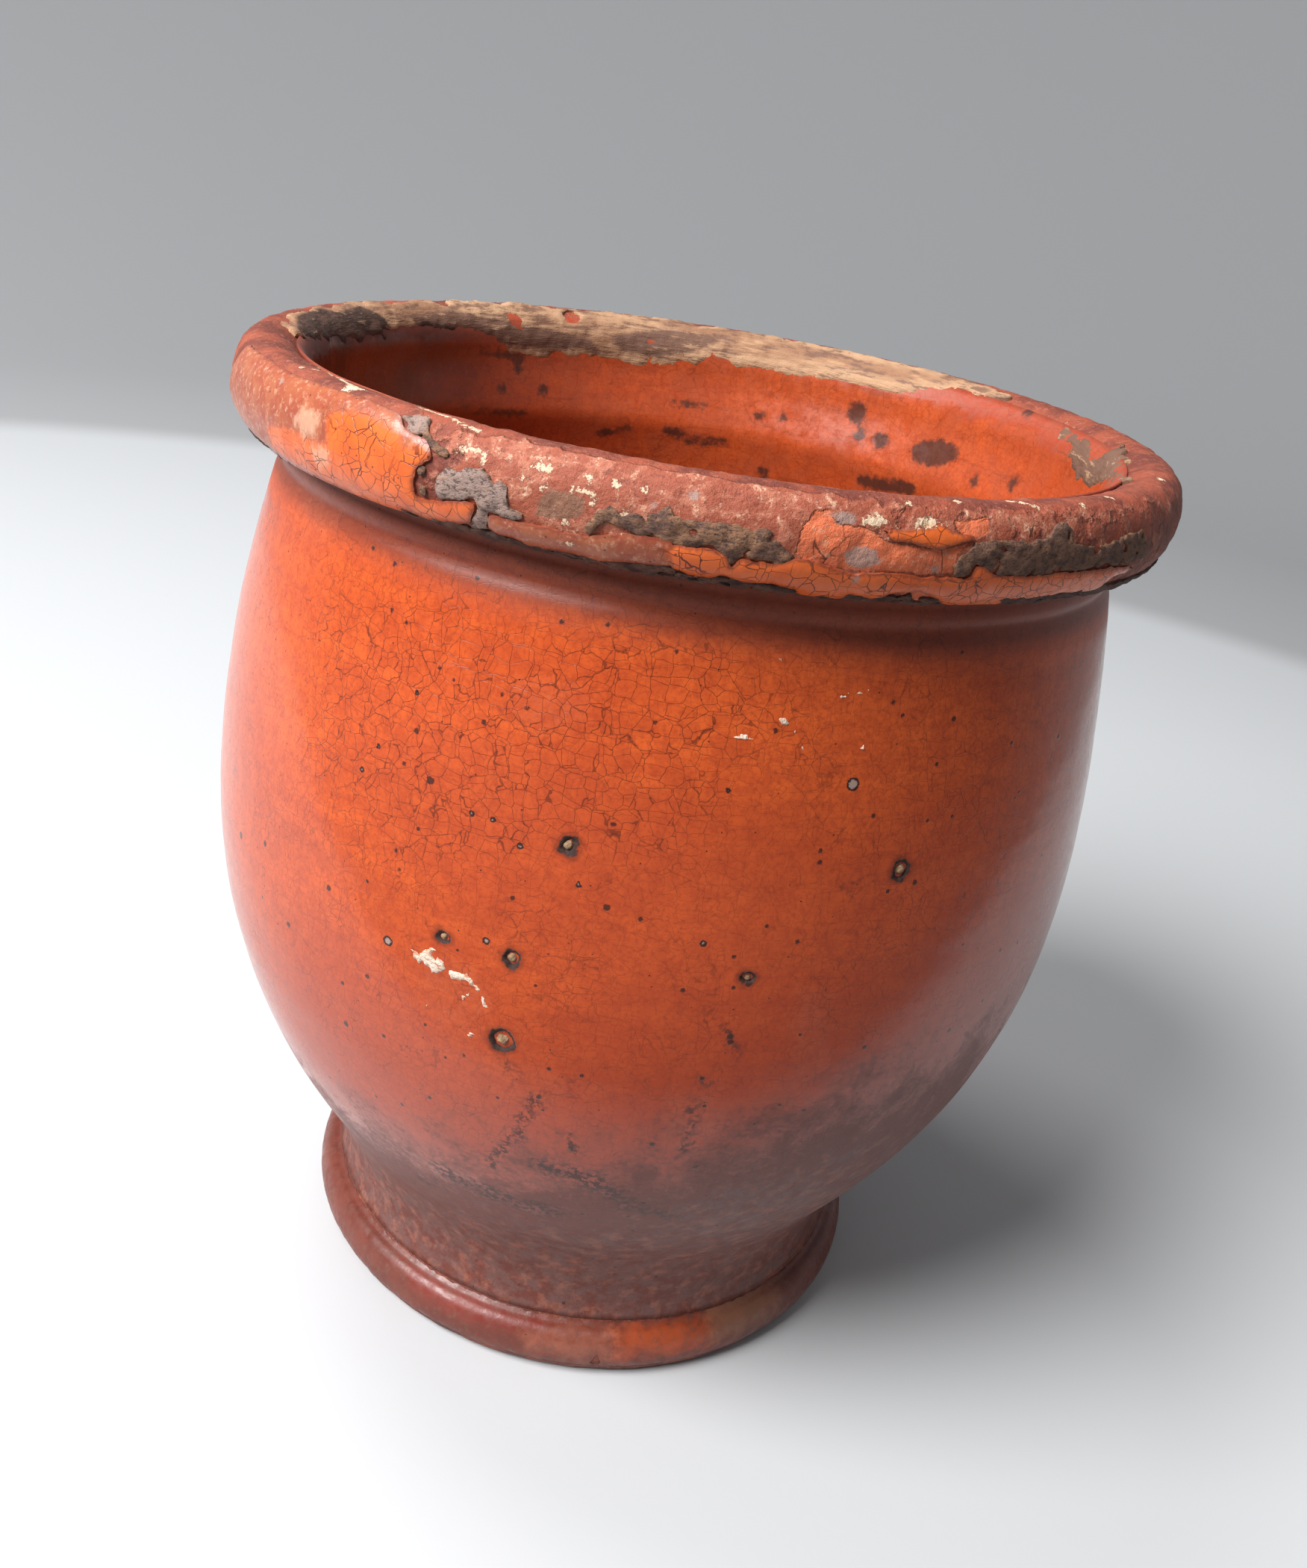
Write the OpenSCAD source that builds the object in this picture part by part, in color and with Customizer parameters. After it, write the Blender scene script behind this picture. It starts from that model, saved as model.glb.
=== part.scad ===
// Footed jar of thrown red earthenware, lead glazed inside and out, with a thick rolled rim that
// has lost much of its glaze. Millimetres, +Z up, origin at the middle of the foot's flat face.
// Azimuth 0 is the front, towards -Y, and grows towards +X.

/* [Foot] */
// Radius of the foot band at its widest
foot_r = 44.8; // [40:0.2:50]
// Height of the rounded foot band
foot_band_h = 7.5; // [5:0.5:10]
// How far the band's edges draw in from its widest radius
foot_round = 2.3; // [1:0.1:4]
// How far the waist cuts in behind the band's upper edge
waist_reach = 2.9; // [1:0.1:5]
// Height of the waist's pull above the band
waist_rise = 2; // [1:0.1:4]
// Height of the hollow curve between the band and the belly
waist_h = 20; // [15:0.5:25]
// Radius of the clay where the hollow curve meets the belly
waist_top_r = 47.3; // [44:0.1:52]

/* [Belly] */
// Largest radius of the clay
belly_r = 63.1; // [58:0.1:66]
// Height from the hollow curve up to the largest radius
lower_belly_h = 50.5; // [40:0.5:60]
// Height from the largest radius up to the crease under the neck
shoulder_h = 44; // [36:0.5:52]
// How late the lower belly turns in
lower_belly_curve = 2.15; // [1.8:0.05:2.6]
// How late the shoulder turns in
shoulder_curve = 1.8; // [1.4:0.05:2.4]

/* [Wall] */
// Thickness of the thrown wall
wall = 5.8; // [4:0.1:7]
// Thickness of the floor at its middle
floor_h = 9; // [6:0.5:12]

/* [Neck] */
// How far the shoulder draws in from the belly to the crease under the neck
shoulder_in = 5.5; // [3:0.1:9]
// Height of the neck between the crease and the roll
neck_h = 5.6; // [4:0.1:8]
// Depth of the two grooves turned round the neck
groove_depth = 0.6; // [0.2:0.1:1.2]
// How far the neck draws in over its height
neck_taper = 0.3; // [0:0.1:1]

/* [Rim] */
// How far the roll stands out past the crease
rim_reach = 6.05; // [4.5:0.05:8]
// Height of the roll
roll_h = 11; // [8:0.5:14]
// How far the roll stands out from its crest
roll_out = 3.6; // [2:0.1:4.5]
// How far the roll stands in from its crest
roll_in = 6.3; // [4:0.1:8]

/* [Glaze] */
// Thickness of the glaze coat
glaze = 0.35; // [0.2:0.05:0.6]
// Thickness of the glaze that is left on the rim and the foot
thin_glaze = 0.3; // [0.15:0.05:0.5]

/* [Scale and grit] */
// Thickness of the scale on the outside of the rim
rim_scale = 0.5; // [0.2:0.05:0.8]
// Thickness of the pale scale inside the lip
lip_scale = 0.5; // [0.2:0.05:0.8]
// Thickness of the lime flakes on the belly
lime = 0.25; // [0.1:0.05:0.5]
// Radius of the largest burst pit
pit_r = 1.9; // [1:0.1:2.4]
// Height of a pit's centre above the clay
pit_lift = 0.9; // [0.5:0.1:1.2]
// Radius of the largest stone in a pit
stone_r = 0.9; // [0.5:0.1:1.1]
// Depth of a stone's centre under the clay
stone_sink = 0.6; // [0.4:0.1:0.8]

/* [Hidden] */
$fn = 96;

// Counts of points along the curves
band_steps = 10;
hollow_steps = 10;
belly_steps = 14;
shoulder_steps = 12;
groove_steps = 5;
roll_steps = 20;
lip_steps = 10;
floor_steps = 10;

// Heights and radii that follow from the sizes above
waist_top_z = foot_band_h + waist_h;
belly_z = waist_top_z + lower_belly_h;
crease_z = belly_z + shoulder_h;
roll_z = crease_z + neck_h + roll_h / 2;
crease_r = belly_r - shoulder_in;
rim_r = crease_r + rim_reach;
foot_edge_r = foot_r - foot_round;
crest_r = rim_r - roll_out;
lip_r = crest_r - roll_in;
throat_r = crease_r - wall;
jar_h = roll_z + roll_h / 2;

// Inward slope of the belly where the hollow curve meets it
belly_slope = lower_belly_curve * (belly_r - waist_top_r) / lower_belly_h;
// Share of the hollow curve's height over which it keeps the belly's slope
hollow_pull_share = 0.45;
// Shares of the inner radius at which the floor turns up and lies flat
floor_turn_share = 0.8;
floor_flat_share = 0.48;

// Radius of the clay's outside at height z on the belly or the shoulder
function belly_at(z) = z < belly_z
    ? belly_r - (belly_r - waist_top_r) * pow((belly_z - z) / lower_belly_h, lower_belly_curve)
    : belly_r - (belly_r - crease_r) * pow((z - belly_z) / shoulder_h, shoulder_curve);

// Points of a smooth curve from a to d that heads for b and arrives from c
function curve(a, b, c, d, steps) = [for (i = [1 : steps]) let (t = i / steps, s = 1 - t)
    a * s * s * s + 3 * b * s * s * t + 3 * c * s * t * t + d * t * t * t];

// Points of an upright oval arc
function arc(r, z, out, up, from, to, steps) = [for (i = [0 : steps])
    let (a = from + (to - from) * i / steps) [r + out * cos(a), z + up * sin(a)]];

function backwards(p) = [for (i = [len(p) - 1 : -1 : 0]) p[i]];
function part_of(p, from, to) = [for (i = [from : to]) p[i]];

// A line of points moved sideways, to the right of its own direction
function side_of(p, i) = let (d = p[min(i + 1, len(p) - 1)] - p[max(i - 1, 0)]) [d[1], -d[0]] / norm(d);
function moved(p, t) = [for (i = [0 : len(p) - 1]) p[i] + t * side_of(p, i)];

// The clay's outline, from the foot up the outside, over the rim and down the inside
foot_line = arc(foot_edge_r, foot_band_h / 2, foot_round, foot_band_h / 2, -90, 90, band_steps);
hollow_pull = hollow_pull_share * waist_h;
hollow_line = curve([foot_edge_r, foot_band_h], [foot_edge_r - waist_reach, foot_band_h + waist_rise],
    [waist_top_r - belly_slope * hollow_pull, waist_top_z - hollow_pull], [waist_top_r, waist_top_z],
    hollow_steps);
belly_line = [for (i = [1 : belly_steps]) let (z = waist_top_z + lower_belly_h * i / belly_steps)
    [belly_at(z), z]];
shoulder_line = [for (i = [1 : shoulder_steps]) let (z = belly_z + shoulder_h * i / shoulder_steps)
    [belly_at(z), z]];
neck_line = [for (half = [0, 1], i = [1 : groove_steps])
    let (t = i / groove_steps, share = (half + t) / 2)
    [crease_r - neck_taper * share - groove_depth * sin(180 * t), crease_z + neck_h * share]];
roll_line = arc(crest_r, roll_z, roll_out, roll_h / 2, -90, 90, roll_steps);
lip_line = part_of(arc(crest_r, roll_z, roll_in, roll_h / 2, 90, 180, lip_steps), 1, lip_steps);
throat_line = curve([lip_r, roll_z], [lip_r, roll_z - neck_h], [throat_r, crease_z + neck_h / 2],
    [throat_r, crease_z], lip_steps);
inner_shoulder_line = [for (i = [1 : shoulder_steps])
    let (z = crease_z - shoulder_h * i / shoulder_steps) [belly_at(z) - wall, z]];
inner_belly_line = [for (i = [1 : belly_steps])
    let (z = belly_z - lower_belly_h * i / belly_steps) [belly_at(z) - wall, z]];
inner_r = waist_top_r - wall;
floor_line = concat(curve([inner_r, waist_top_z],
    [inner_r - belly_slope * hollow_pull, waist_top_z - hollow_pull],
    [inner_r * floor_turn_share, floor_h], [inner_r * floor_flat_share, floor_h], floor_steps),
    [[0, floor_h]]);

// Stretches of the outline that carry glaze or scale
coat_line = concat(part_of(hollow_line, 2, hollow_steps - 1), belly_line, shoulder_line,
    part_of(neck_line, 0, 2 * groove_steps - 2));
lining_line = concat(part_of(throat_line, 2, lip_steps - 1), inner_shoulder_line, inner_belly_line,
    floor_line);
rim_face_line = part_of(roll_line, 4, roll_steps - 2);
rim_edge_line = part_of(roll_line, 1, 3);
lip_face_line = concat(part_of(lip_line, 0, lip_steps - 1), part_of(throat_line, 0, 2));
foot_face_line = part_of(foot_line, 3, band_steps - 1);

// A turned skin between two distances off a line of the outline
module skin(line, near, far) {
    rotate_extrude() polygon(concat(moved(line, near), backwards(moved(line, far))));
}

// Shares by which a patch's edge wanders in and out
edge_shares = [1, 0.8, 0.94, 0.7, 1.04, 0.86, 0.98, 0.74, 1.02, 0.9, 0.78];
// Number of corners of a patch
patch_points = 14;
function patch_outline(w, h, turn) = [for (i = [0 : patch_points - 1])
    let (a = 360 * i / patch_points, k = edge_shares[(i + turn) % len(edge_shares)] / 2)
    [w * k * cos(a), h * k * sin(a)]];

// Prisms that point out from the axis, one for each patch: azimuth, height, width and height shares
module windows(shares, low_z, span_z, span_w) {
    for (i = [0 : len(shares) - 1])
        rotate([0, 0, shares[i][0]])
            translate([0, 0, low_z + span_z * shares[i][1]])
                rotate([90, 0, 0])
                    linear_extrude(height = rim_r + roll_h)
                        polygon(patch_outline(span_w * shares[i][2], span_z * shares[i][3], i));
}

// Patches on the rim: azimuth, then shares of the roll's height, the rim's radius, the roll's height
rim_glaze_shares = [[-35, 0.42, 0.42, 0.8], [-8, 0.17, 0.22, 0.3], [7, 0.19, 0.26, 0.3],
    [23, 0.19, 0.26, 0.34], [41, 0.2, 0.3, 0.36], [66, 0.3, 0.3, 0.5], [95, 0.36, 0.42, 0.5],
    [128, 0.3, 0.4, 0.6], [162, 0.4, 0.44, 0.7], [-160, 0.3, 0.4, 0.5], [-128, 0.36, 0.42, 0.6],
    [-98, 0.32, 0.36, 0.6], [-68, 0.34, 0.34, 0.5]];
rim_scale_shares = [[-27.5, 0.9, 0.07, 0.18], [-23, 0.72, 0.045, 0.12], [-19.5, 0.6, 0.15, 0.34],
    [-18.6, 0.28, 0.05, 0.3], [-4, 0.56, 0.15, 0.16], [3, 0.48, 0.18, 0.2], [29, 0.56, 0.17, 0.3],
    [38, 0.55, 0.2, 0.36], [48, 0.5, 0.14, 0.3], [112, 0.6, 0.2, 0.24], [-112, 0.62, 0.16, 0.2],
    [-174, 0.62, 0.22, 0.26]];
// Patches inside the lip, in the same shares
lip_scale_shares = [[84, 0.62, 0.26, 0.5], [106, 0.7, 0.2, 0.4], [138, 0.66, 0.3, 0.5],
    [160, 0.6, 0.36, 0.7], [-176, 0.6, 0.4, 0.7], [-152, 0.66, 0.36, 0.6], [-128, 0.62, 0.36, 0.5],
    [-104, 0.66, 0.34, 0.6], [-80, 0.7, 0.24, 0.4]];
// Patches on the foot band: azimuth, then shares of its height, its radius and its height
foot_glaze_shares = [[-72, 0.6, 0.3, 0.7], [-22, 0.62, 0.36, 0.5], [10, 0.6, 0.28, 0.7],
    [28, 0.6, 0.26, 0.6], [74, 0.56, 0.3, 0.6], [120, 0.6, 0.34, 0.6], [172, 0.6, 0.4, 0.6],
    [-124, 0.58, 0.36, 0.6]];
// Lime flakes: azimuth, then shares of the jar's height, the belly's radius and the jar's height
lime_shares = [[-20, 0.562, 0.05, 0.018], [-16.4, 0.551, 0.06, 0.022], [-13.6, 0.543, 0.03, 0.016],
    [7.6, 0.834, 0.05, 0.007], [11.6, 0.829, 0.04, 0.012], [15.4, 0.815, 0.03, 0.01],
    [17.6, 0.802, 0.024, 0.01], [13.5, 0.358, 0.022, 0.012]];
// Burst pits: azimuth, share of the jar's height, share of the largest pit
pit_shares = [[-10.9, 0.508, 1], [-10.9, 0.589, 0.72], [-6.9, 0.699, 0.68], [28.7, 0.698, 0.8],
    [-18.6, 0.589, 0.5], [13.4, 0.602, 0.5], [118, 0.55, 0.7], [-140, 0.62, 0.8], [172, 0.4, 0.6]];

// Puts its children on the clay's outside at an azimuth and height
module on_belly(azimuth, z, off) {
    rotate([0, 0, azimuth]) translate([0, -belly_at(z) - off, z]) children();
}
module pits() {
    for (p = pit_shares) on_belly(p[0], p[1] * jar_h, pit_lift * p[2]) sphere(r = pit_r * p[2]);
}
module stones() {
    for (p = pit_shares) on_belly(p[0], p[1] * jar_h, -stone_sink * p[2]) sphere(r = stone_r * p[2]);
}

// The thrown jar: floor, wall, rolled rim and foot in one piece of fired clay
module clay_body() {
    color([0.6, 0.29, 0.2]) difference() {
        rotate_extrude() polygon(concat([[0, 0]], foot_line, hollow_line, belly_line, shoulder_line,
            neck_line, roll_line, lip_line, throat_line, inner_shoulder_line, inner_belly_line,
            floor_line));
        pits();
        stones();
    }
}

// The glaze coat on the outside, from the foot's waist to under the roll
module outer_glaze() {
    color([0.8, 0.3, 0.1]) difference() {
        skin(coat_line, 0, glaze);
        pits();
    }
}

// The glaze lining, from the throat down over the floor
module inner_glaze() {
    color([0.72, 0.25, 0.1]) skin(lining_line, 0, glaze);
}

// The glaze that is left on the face of the roll
module rim_glaze() {
    color([0.86, 0.4, 0.14]) difference() {
        intersection() {
            skin(rim_face_line, 0, thin_glaze);
            windows(rim_glaze_shares, roll_z - roll_h / 2, roll_h, rim_r);
        }
        windows(rim_scale_shares, roll_z - roll_h / 2, roll_h, rim_r);
    }
}

// The glaze that is left on the foot band
module foot_glaze() {
    color([0.74, 0.32, 0.16]) intersection() {
        skin(foot_face_line, 0, thin_glaze);
        windows(foot_glaze_shares, 0, foot_band_h, foot_r);
    }
}

// Grey mineral scale on the face of the roll
module rim_scale_patches() {
    color([0.45, 0.4, 0.37]) intersection() {
        skin(rim_face_line, 0, rim_scale);
        windows(rim_scale_shares, roll_z - roll_h / 2, roll_h, rim_r);
    }
}

// Dark scale along the lower edge of the roll
module edge_scale() {
    color([0.24, 0.2, 0.18]) skin(rim_edge_line, 0, rim_scale);
}

// Pale scale inside the lip
module lip_scale_patches() {
    color([0.68, 0.56, 0.44]) intersection() {
        skin(lip_face_line, 0, lip_scale);
        windows(lip_scale_shares, roll_z - roll_h / 2, roll_h, rim_r);
    }
}

// White lime flakes on the belly's glaze
module lime_flakes() {
    color([0.9, 0.84, 0.78]) intersection() {
        skin(concat(belly_line, shoulder_line), glaze, glaze + lime);
        windows(lime_shares, 0, jar_h, belly_r);
    }
}

// Stones that burst out of the clay and lie bare in their pits
module grit_stones() {
    color([0.72, 0.6, 0.5]) stones();
}

clay_body();
outer_glaze();
inner_glaze();
rim_glaze();
foot_glaze();
rim_scale_patches();
edge_scale();
lip_scale_patches();
lime_flakes();
grit_stones();
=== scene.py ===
import math
from functools import partial, reduce
from types import SimpleNamespace

import bmesh
import bpy
import numpy as np
from mathutils import Matrix, Vector, noise


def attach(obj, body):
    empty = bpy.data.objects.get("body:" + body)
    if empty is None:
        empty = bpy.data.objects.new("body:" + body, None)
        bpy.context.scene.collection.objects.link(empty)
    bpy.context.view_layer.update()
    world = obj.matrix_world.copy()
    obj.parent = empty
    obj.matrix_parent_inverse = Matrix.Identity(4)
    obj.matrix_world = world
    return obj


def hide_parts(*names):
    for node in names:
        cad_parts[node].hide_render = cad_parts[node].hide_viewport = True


bl_info = {
    "name": "Salt Jar",
    "version": (1, 0, 0),
    "blender": (4, 5, 0),
    "location": "View3D > Sidebar > Salt Jar",
    "description": "Models a footed redware salt jar with a worn, scaled rim",
    "category": "Add Mesh",
}

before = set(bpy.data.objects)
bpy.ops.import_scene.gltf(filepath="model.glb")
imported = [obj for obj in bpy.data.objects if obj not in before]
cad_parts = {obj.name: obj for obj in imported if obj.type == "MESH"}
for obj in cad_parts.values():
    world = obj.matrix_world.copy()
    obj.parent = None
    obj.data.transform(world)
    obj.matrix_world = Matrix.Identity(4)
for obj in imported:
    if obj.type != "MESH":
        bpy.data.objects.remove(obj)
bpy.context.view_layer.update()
MM = 0.001
BODY = "root"

# The photograph's frame in pixels and its focal length in pixels
PHOTO_WIDTH = 1751
PHOTO_HEIGHT = 2100
PHOTO_FOCAL = 1851.0
SENSOR = 36.0


def number(name, description, default, **limits):
    """A plain number that a user may set"""
    return bpy.props.FloatProperty(name=name, description=description, default=default, **limits)


def length(name, description, millimetres):
    """A size that a user may set"""
    return number(name, description, millimetres * MM, min=0, unit="LENGTH", subtype="DISTANCE")


def place(name, description, *metres):
    """A place that a user may set"""
    return bpy.props.FloatVectorProperty(name=name, description=description, size=3, subtype="XYZ",
                                         unit="LENGTH", default=metres)


def linear(red, green, blue):
    """A colour given as 0 to 255 on screen, in the linear values that shaders use"""
    shares = (channel / 255 for channel in (red, green, blue))
    return tuple(s / 12.92 if s <= 0.04045 else ((s + 0.055) / 1.055) ** 2.4 for s in shares)


def tint(name, description, red, green, blue):
    """A colour that a user may set"""
    return bpy.props.FloatVectorProperty(name=name, description=description, subtype="COLOR", size=3,
                                         min=0, max=1, default=linear(red, green, blue))


class JarShape(bpy.types.PropertyGroup):
    """Sizes of the thrown jar"""
    foot_r: length("Foot radius", "Radius of the foot band at its widest", 44.8)
    foot_band_h: length("Foot band height", "Height of the rounded foot band", 7.5)
    foot_round: length("Foot rounding", "How far the band's edges draw in", 2.3)
    waist_reach: length("Waist reach", "How far the waist cuts in behind the band", 2.9)
    waist_rise: length("Waist rise", "Height of the waist's pull above the band", 2)
    waist_h: length("Waist height", "Height of the hollow curve over the band", 20)
    waist_top_r: length("Waist top radius", "Radius where the hollow curve meets the belly", 47.3)
    belly_r: length("Belly radius", "Largest radius of the clay", 63.1)
    lower_belly_h: length("Lower belly height", "Height from the hollow curve to the largest radius",
                          50.5)
    shoulder_h: length("Shoulder height", "Height from the largest radius to the crease", 44)
    wall: length("Wall", "Thickness of the thrown wall", 5.8)
    floor_h: length("Floor", "Thickness of the floor at its middle", 9)
    shoulder_in: length("Shoulder draw", "How far the shoulder draws in to the crease", 5.5)
    neck_h: length("Neck height", "Height of the neck under the roll", 5.6)
    groove_depth: length("Groove depth", "Depth of the two grooves turned round the neck", 0.6)
    neck_taper: length("Neck taper", "How far the neck draws in over its height", 0.3)
    rim_reach: length("Rim reach", "How far the roll stands out past the crease", 6.05)
    roll_h: length("Roll height", "Height of the roll", 11)
    roll_out: length("Roll outside", "How far the roll stands out from its crest", 3.6)
    roll_in: length("Roll inside", "How far the roll stands in from its crest", 6.3)
    lower_curve: number("Lower curve", "How late the lower belly turns in", 2.15, min=1, max=4)
    shoulder_curve: number("Shoulder curve", "How late the shoulder turns in", 1.8, min=1, max=4)
    glaze: length("Glaze", "Thickness of the glaze coat", 0.35)
    thin_glaze: length("Thin glaze", "Thickness of the glaze left on the rim and the foot", 0.3)
    pit_r: length("Pit radius", "Radius of the largest burst pit", 1.9)
    pit_lift: length("Pit lift", "Height of a pit's centre above the clay", 0.9)
    stone_r: length("Stone radius", "Radius of the largest stone in a pit", 0.9)
    stone_sink: length("Stone sink", "Depth of a stone's centre under the clay", 0.6)


class JarLooks(bpy.types.PropertyGroup):
    """Colours of the clay, the glazes and the scale"""
    clay_red: tint("Clay", "Bare fired clay", 158, 76, 52)
    clay_dark: tint("Worn clay", "Clay rubbed brown on the crest of the roll", 116, 54, 40)
    clay_pink: tint("Flaked clay", "Clay under lifted flakes", 190, 116, 90)
    clay_pale: tint("Pale clay", "Freshly flaked clay and dried salts", 224, 182, 152)
    clay_salmon: tint("Peeled clay", "Clay where the glaze has lifted off whole", 230, 118, 76)
    glaze_orange: tint("Glaze", "Glaze over red clay", 214, 92, 36)
    glaze_red: tint("Deep glaze", "Glaze where it lies thick", 162, 56, 26)
    glaze_brown: tint("Dark glaze", "Glaze darkened by the fire low on the body", 104, 48, 36)
    glaze_stripe: tint("Red stripe", "Glaze burnt red in the hollow over the foot", 140, 46, 38)
    # Smoke-greyed glaze low over the foot, which also paints the floor's reflection there
    glaze_greyed_and_sheen: tint("Smoked glaze", "Glaze greyed by smoke just over the foot", 110, 76, 70)
    rim_orange: tint("Rim glaze", "Glaze left on the roll", 230, 108, 46)
    # Rubbed glaze on the roll, whose tan also paints the sheen of light grazing it
    rim_rubbed_and_sheen: tint("Rubbed rim glaze", "Glaze rubbed thin on the roll", 170, 94, 62)
    crackle: tint("Crackle", "Dirt in the fine cracks", 84, 30, 14)
    speck: tint("Specks", "Iron specks in the glaze", 52, 26, 20)
    scale_grey: tint("Grey scale", "Grey mineral scale", 166, 140, 130)
    scale_brown: tint("Brown scale", "Brown mineral scale", 108, 76, 62)
    scale_dark: tint("Dark scale", "Dark scale under the roll", 62, 42, 36)
    scale_tan: tint("Tan scale", "Chalky scale inside the lip", 150, 108, 80)
    scale_pale: tint("Pale scale", "Palest scale inside the lip", 190, 150, 116)
    cream: tint("Cream", "Pale flakes and salts on the roll", 240, 212, 178)
    lime_white: tint("Lime", "White lime flakes", 244, 226, 206)
    grit_pale: tint("Grit", "Stones in the pits", 158, 130, 98)


class JarStage(bpy.types.PropertyGroup):
    """The camera and the light"""
    eye: place("Camera", "Where the camera stands", 0, -0.19376, 0.16651)
    turn: number("Turn", "How far the camera turns to the right", 0.004525, unit="ROTATION")
    dip: number("Dip", "How far the camera looks down", 0.432895, unit="ROTATION")
    roll: number("Roll", "How far the camera is rolled", 0.164252, unit="ROTATION")
    key_place: place("Key place", "Where the soft lamp hangs", -0.56, -0.42, 0.78)
    key_power: number("Key", "Power of the large soft lamp in watts", 18, min=0)
    top_power: number("Top", "Power of the lamp overhead in watts", 4.5, min=0)
    sky: number("Sky", "Strength of the light from all round", 0.2, min=0)
    floor_pale: tint("Floor", "Colour of the floor round the jar", 204, 206, 208)
    floor_grey: tint("Backdrop", "Colour that the floor runs out to at the back", 172, 173, 175)
    # Painted shade: the floor darkens to this in front of the jar
    floor_front_shade: tint("Front", "Colour that the floor runs out to in front", 128, 128, 130)


# The pull of the hollow's curve as a share of its height
HOLLOW_PULL = 0.45


def sizes(shape):
    """The jar's sizes in millimetres, with those that follow from them"""
    s = SimpleNamespace(**{key: getattr(shape, key) / MM for key in JarShape.__annotations__})
    s.lower_curve = shape.lower_curve
    s.shoulder_curve = shape.shoulder_curve
    s.waist_top_z = s.foot_band_h + s.waist_h
    s.belly_z = s.waist_top_z + s.lower_belly_h
    s.crease_z = s.belly_z + s.shoulder_h
    s.roll_z = s.crease_z + s.neck_h + s.roll_h / 2
    s.crease_r = s.belly_r - s.shoulder_in
    s.rim_r = s.crease_r + s.rim_reach
    s.foot_edge_r = s.foot_r - s.foot_round
    s.crest_r = s.rim_r - s.roll_out
    s.lip_r = s.crest_r - s.roll_in
    s.throat_r = s.crease_r - s.wall
    s.jar_h = s.roll_z + s.roll_h / 2
    s.inner_r = s.waist_top_r - s.wall
    s.hollow_pull = HOLLOW_PULL * s.waist_h
    s.pit_mouth = math.sqrt(s.pit_r ** 2 - s.pit_lift ** 2)
    s.slope = s.lower_curve * (s.belly_r - s.waist_top_r) / s.lower_belly_h
    return s


SHARES = np.linspace(0, 1, 65)
# Shares of the inside radius: where the floor's curve is pulled to, and where the flat floor ends
FLOOR_PULL = 0.8
FLAT_FLOOR = 0.48
# How the hand left the jar out of true: how far in millimetres, at which degrees and how many wide
RIM_DIP = (0.8, -105, 50)
FOOT_SWELL = (0.8, -90, 45)
# How near to the jar's axis, in millimetres, its lean and waves fade out
AXIS_FADE = 10


def smooth(value, low, high):
    """0 below low, 1 above high and an easy rise between"""
    t = np.clip((value - low) / (high - low), 0, 1)
    return t * t * (3 - 2 * t)


def oval(r, z, out, up, start, end):
    """An upright oval arc between two angles in degrees"""
    angle = np.radians(start + (end - start) * SHARES)
    return np.column_stack((r + out * np.cos(angle), z + up * np.sin(angle)))


def pull(a, b, c, d):
    """A smooth curve from a to d that heads for b and arrives from c"""
    t = SHARES[:, None]
    a, b, c, d = (np.array(point, float) for point in (a, b, c, d))
    return a * (1 - t) ** 3 + 3 * b * t * (1 - t) ** 2 + 3 * c * t * t * (1 - t) + d * t ** 3


def straight(a, b):
    return pull(a, a, b, b)


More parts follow.
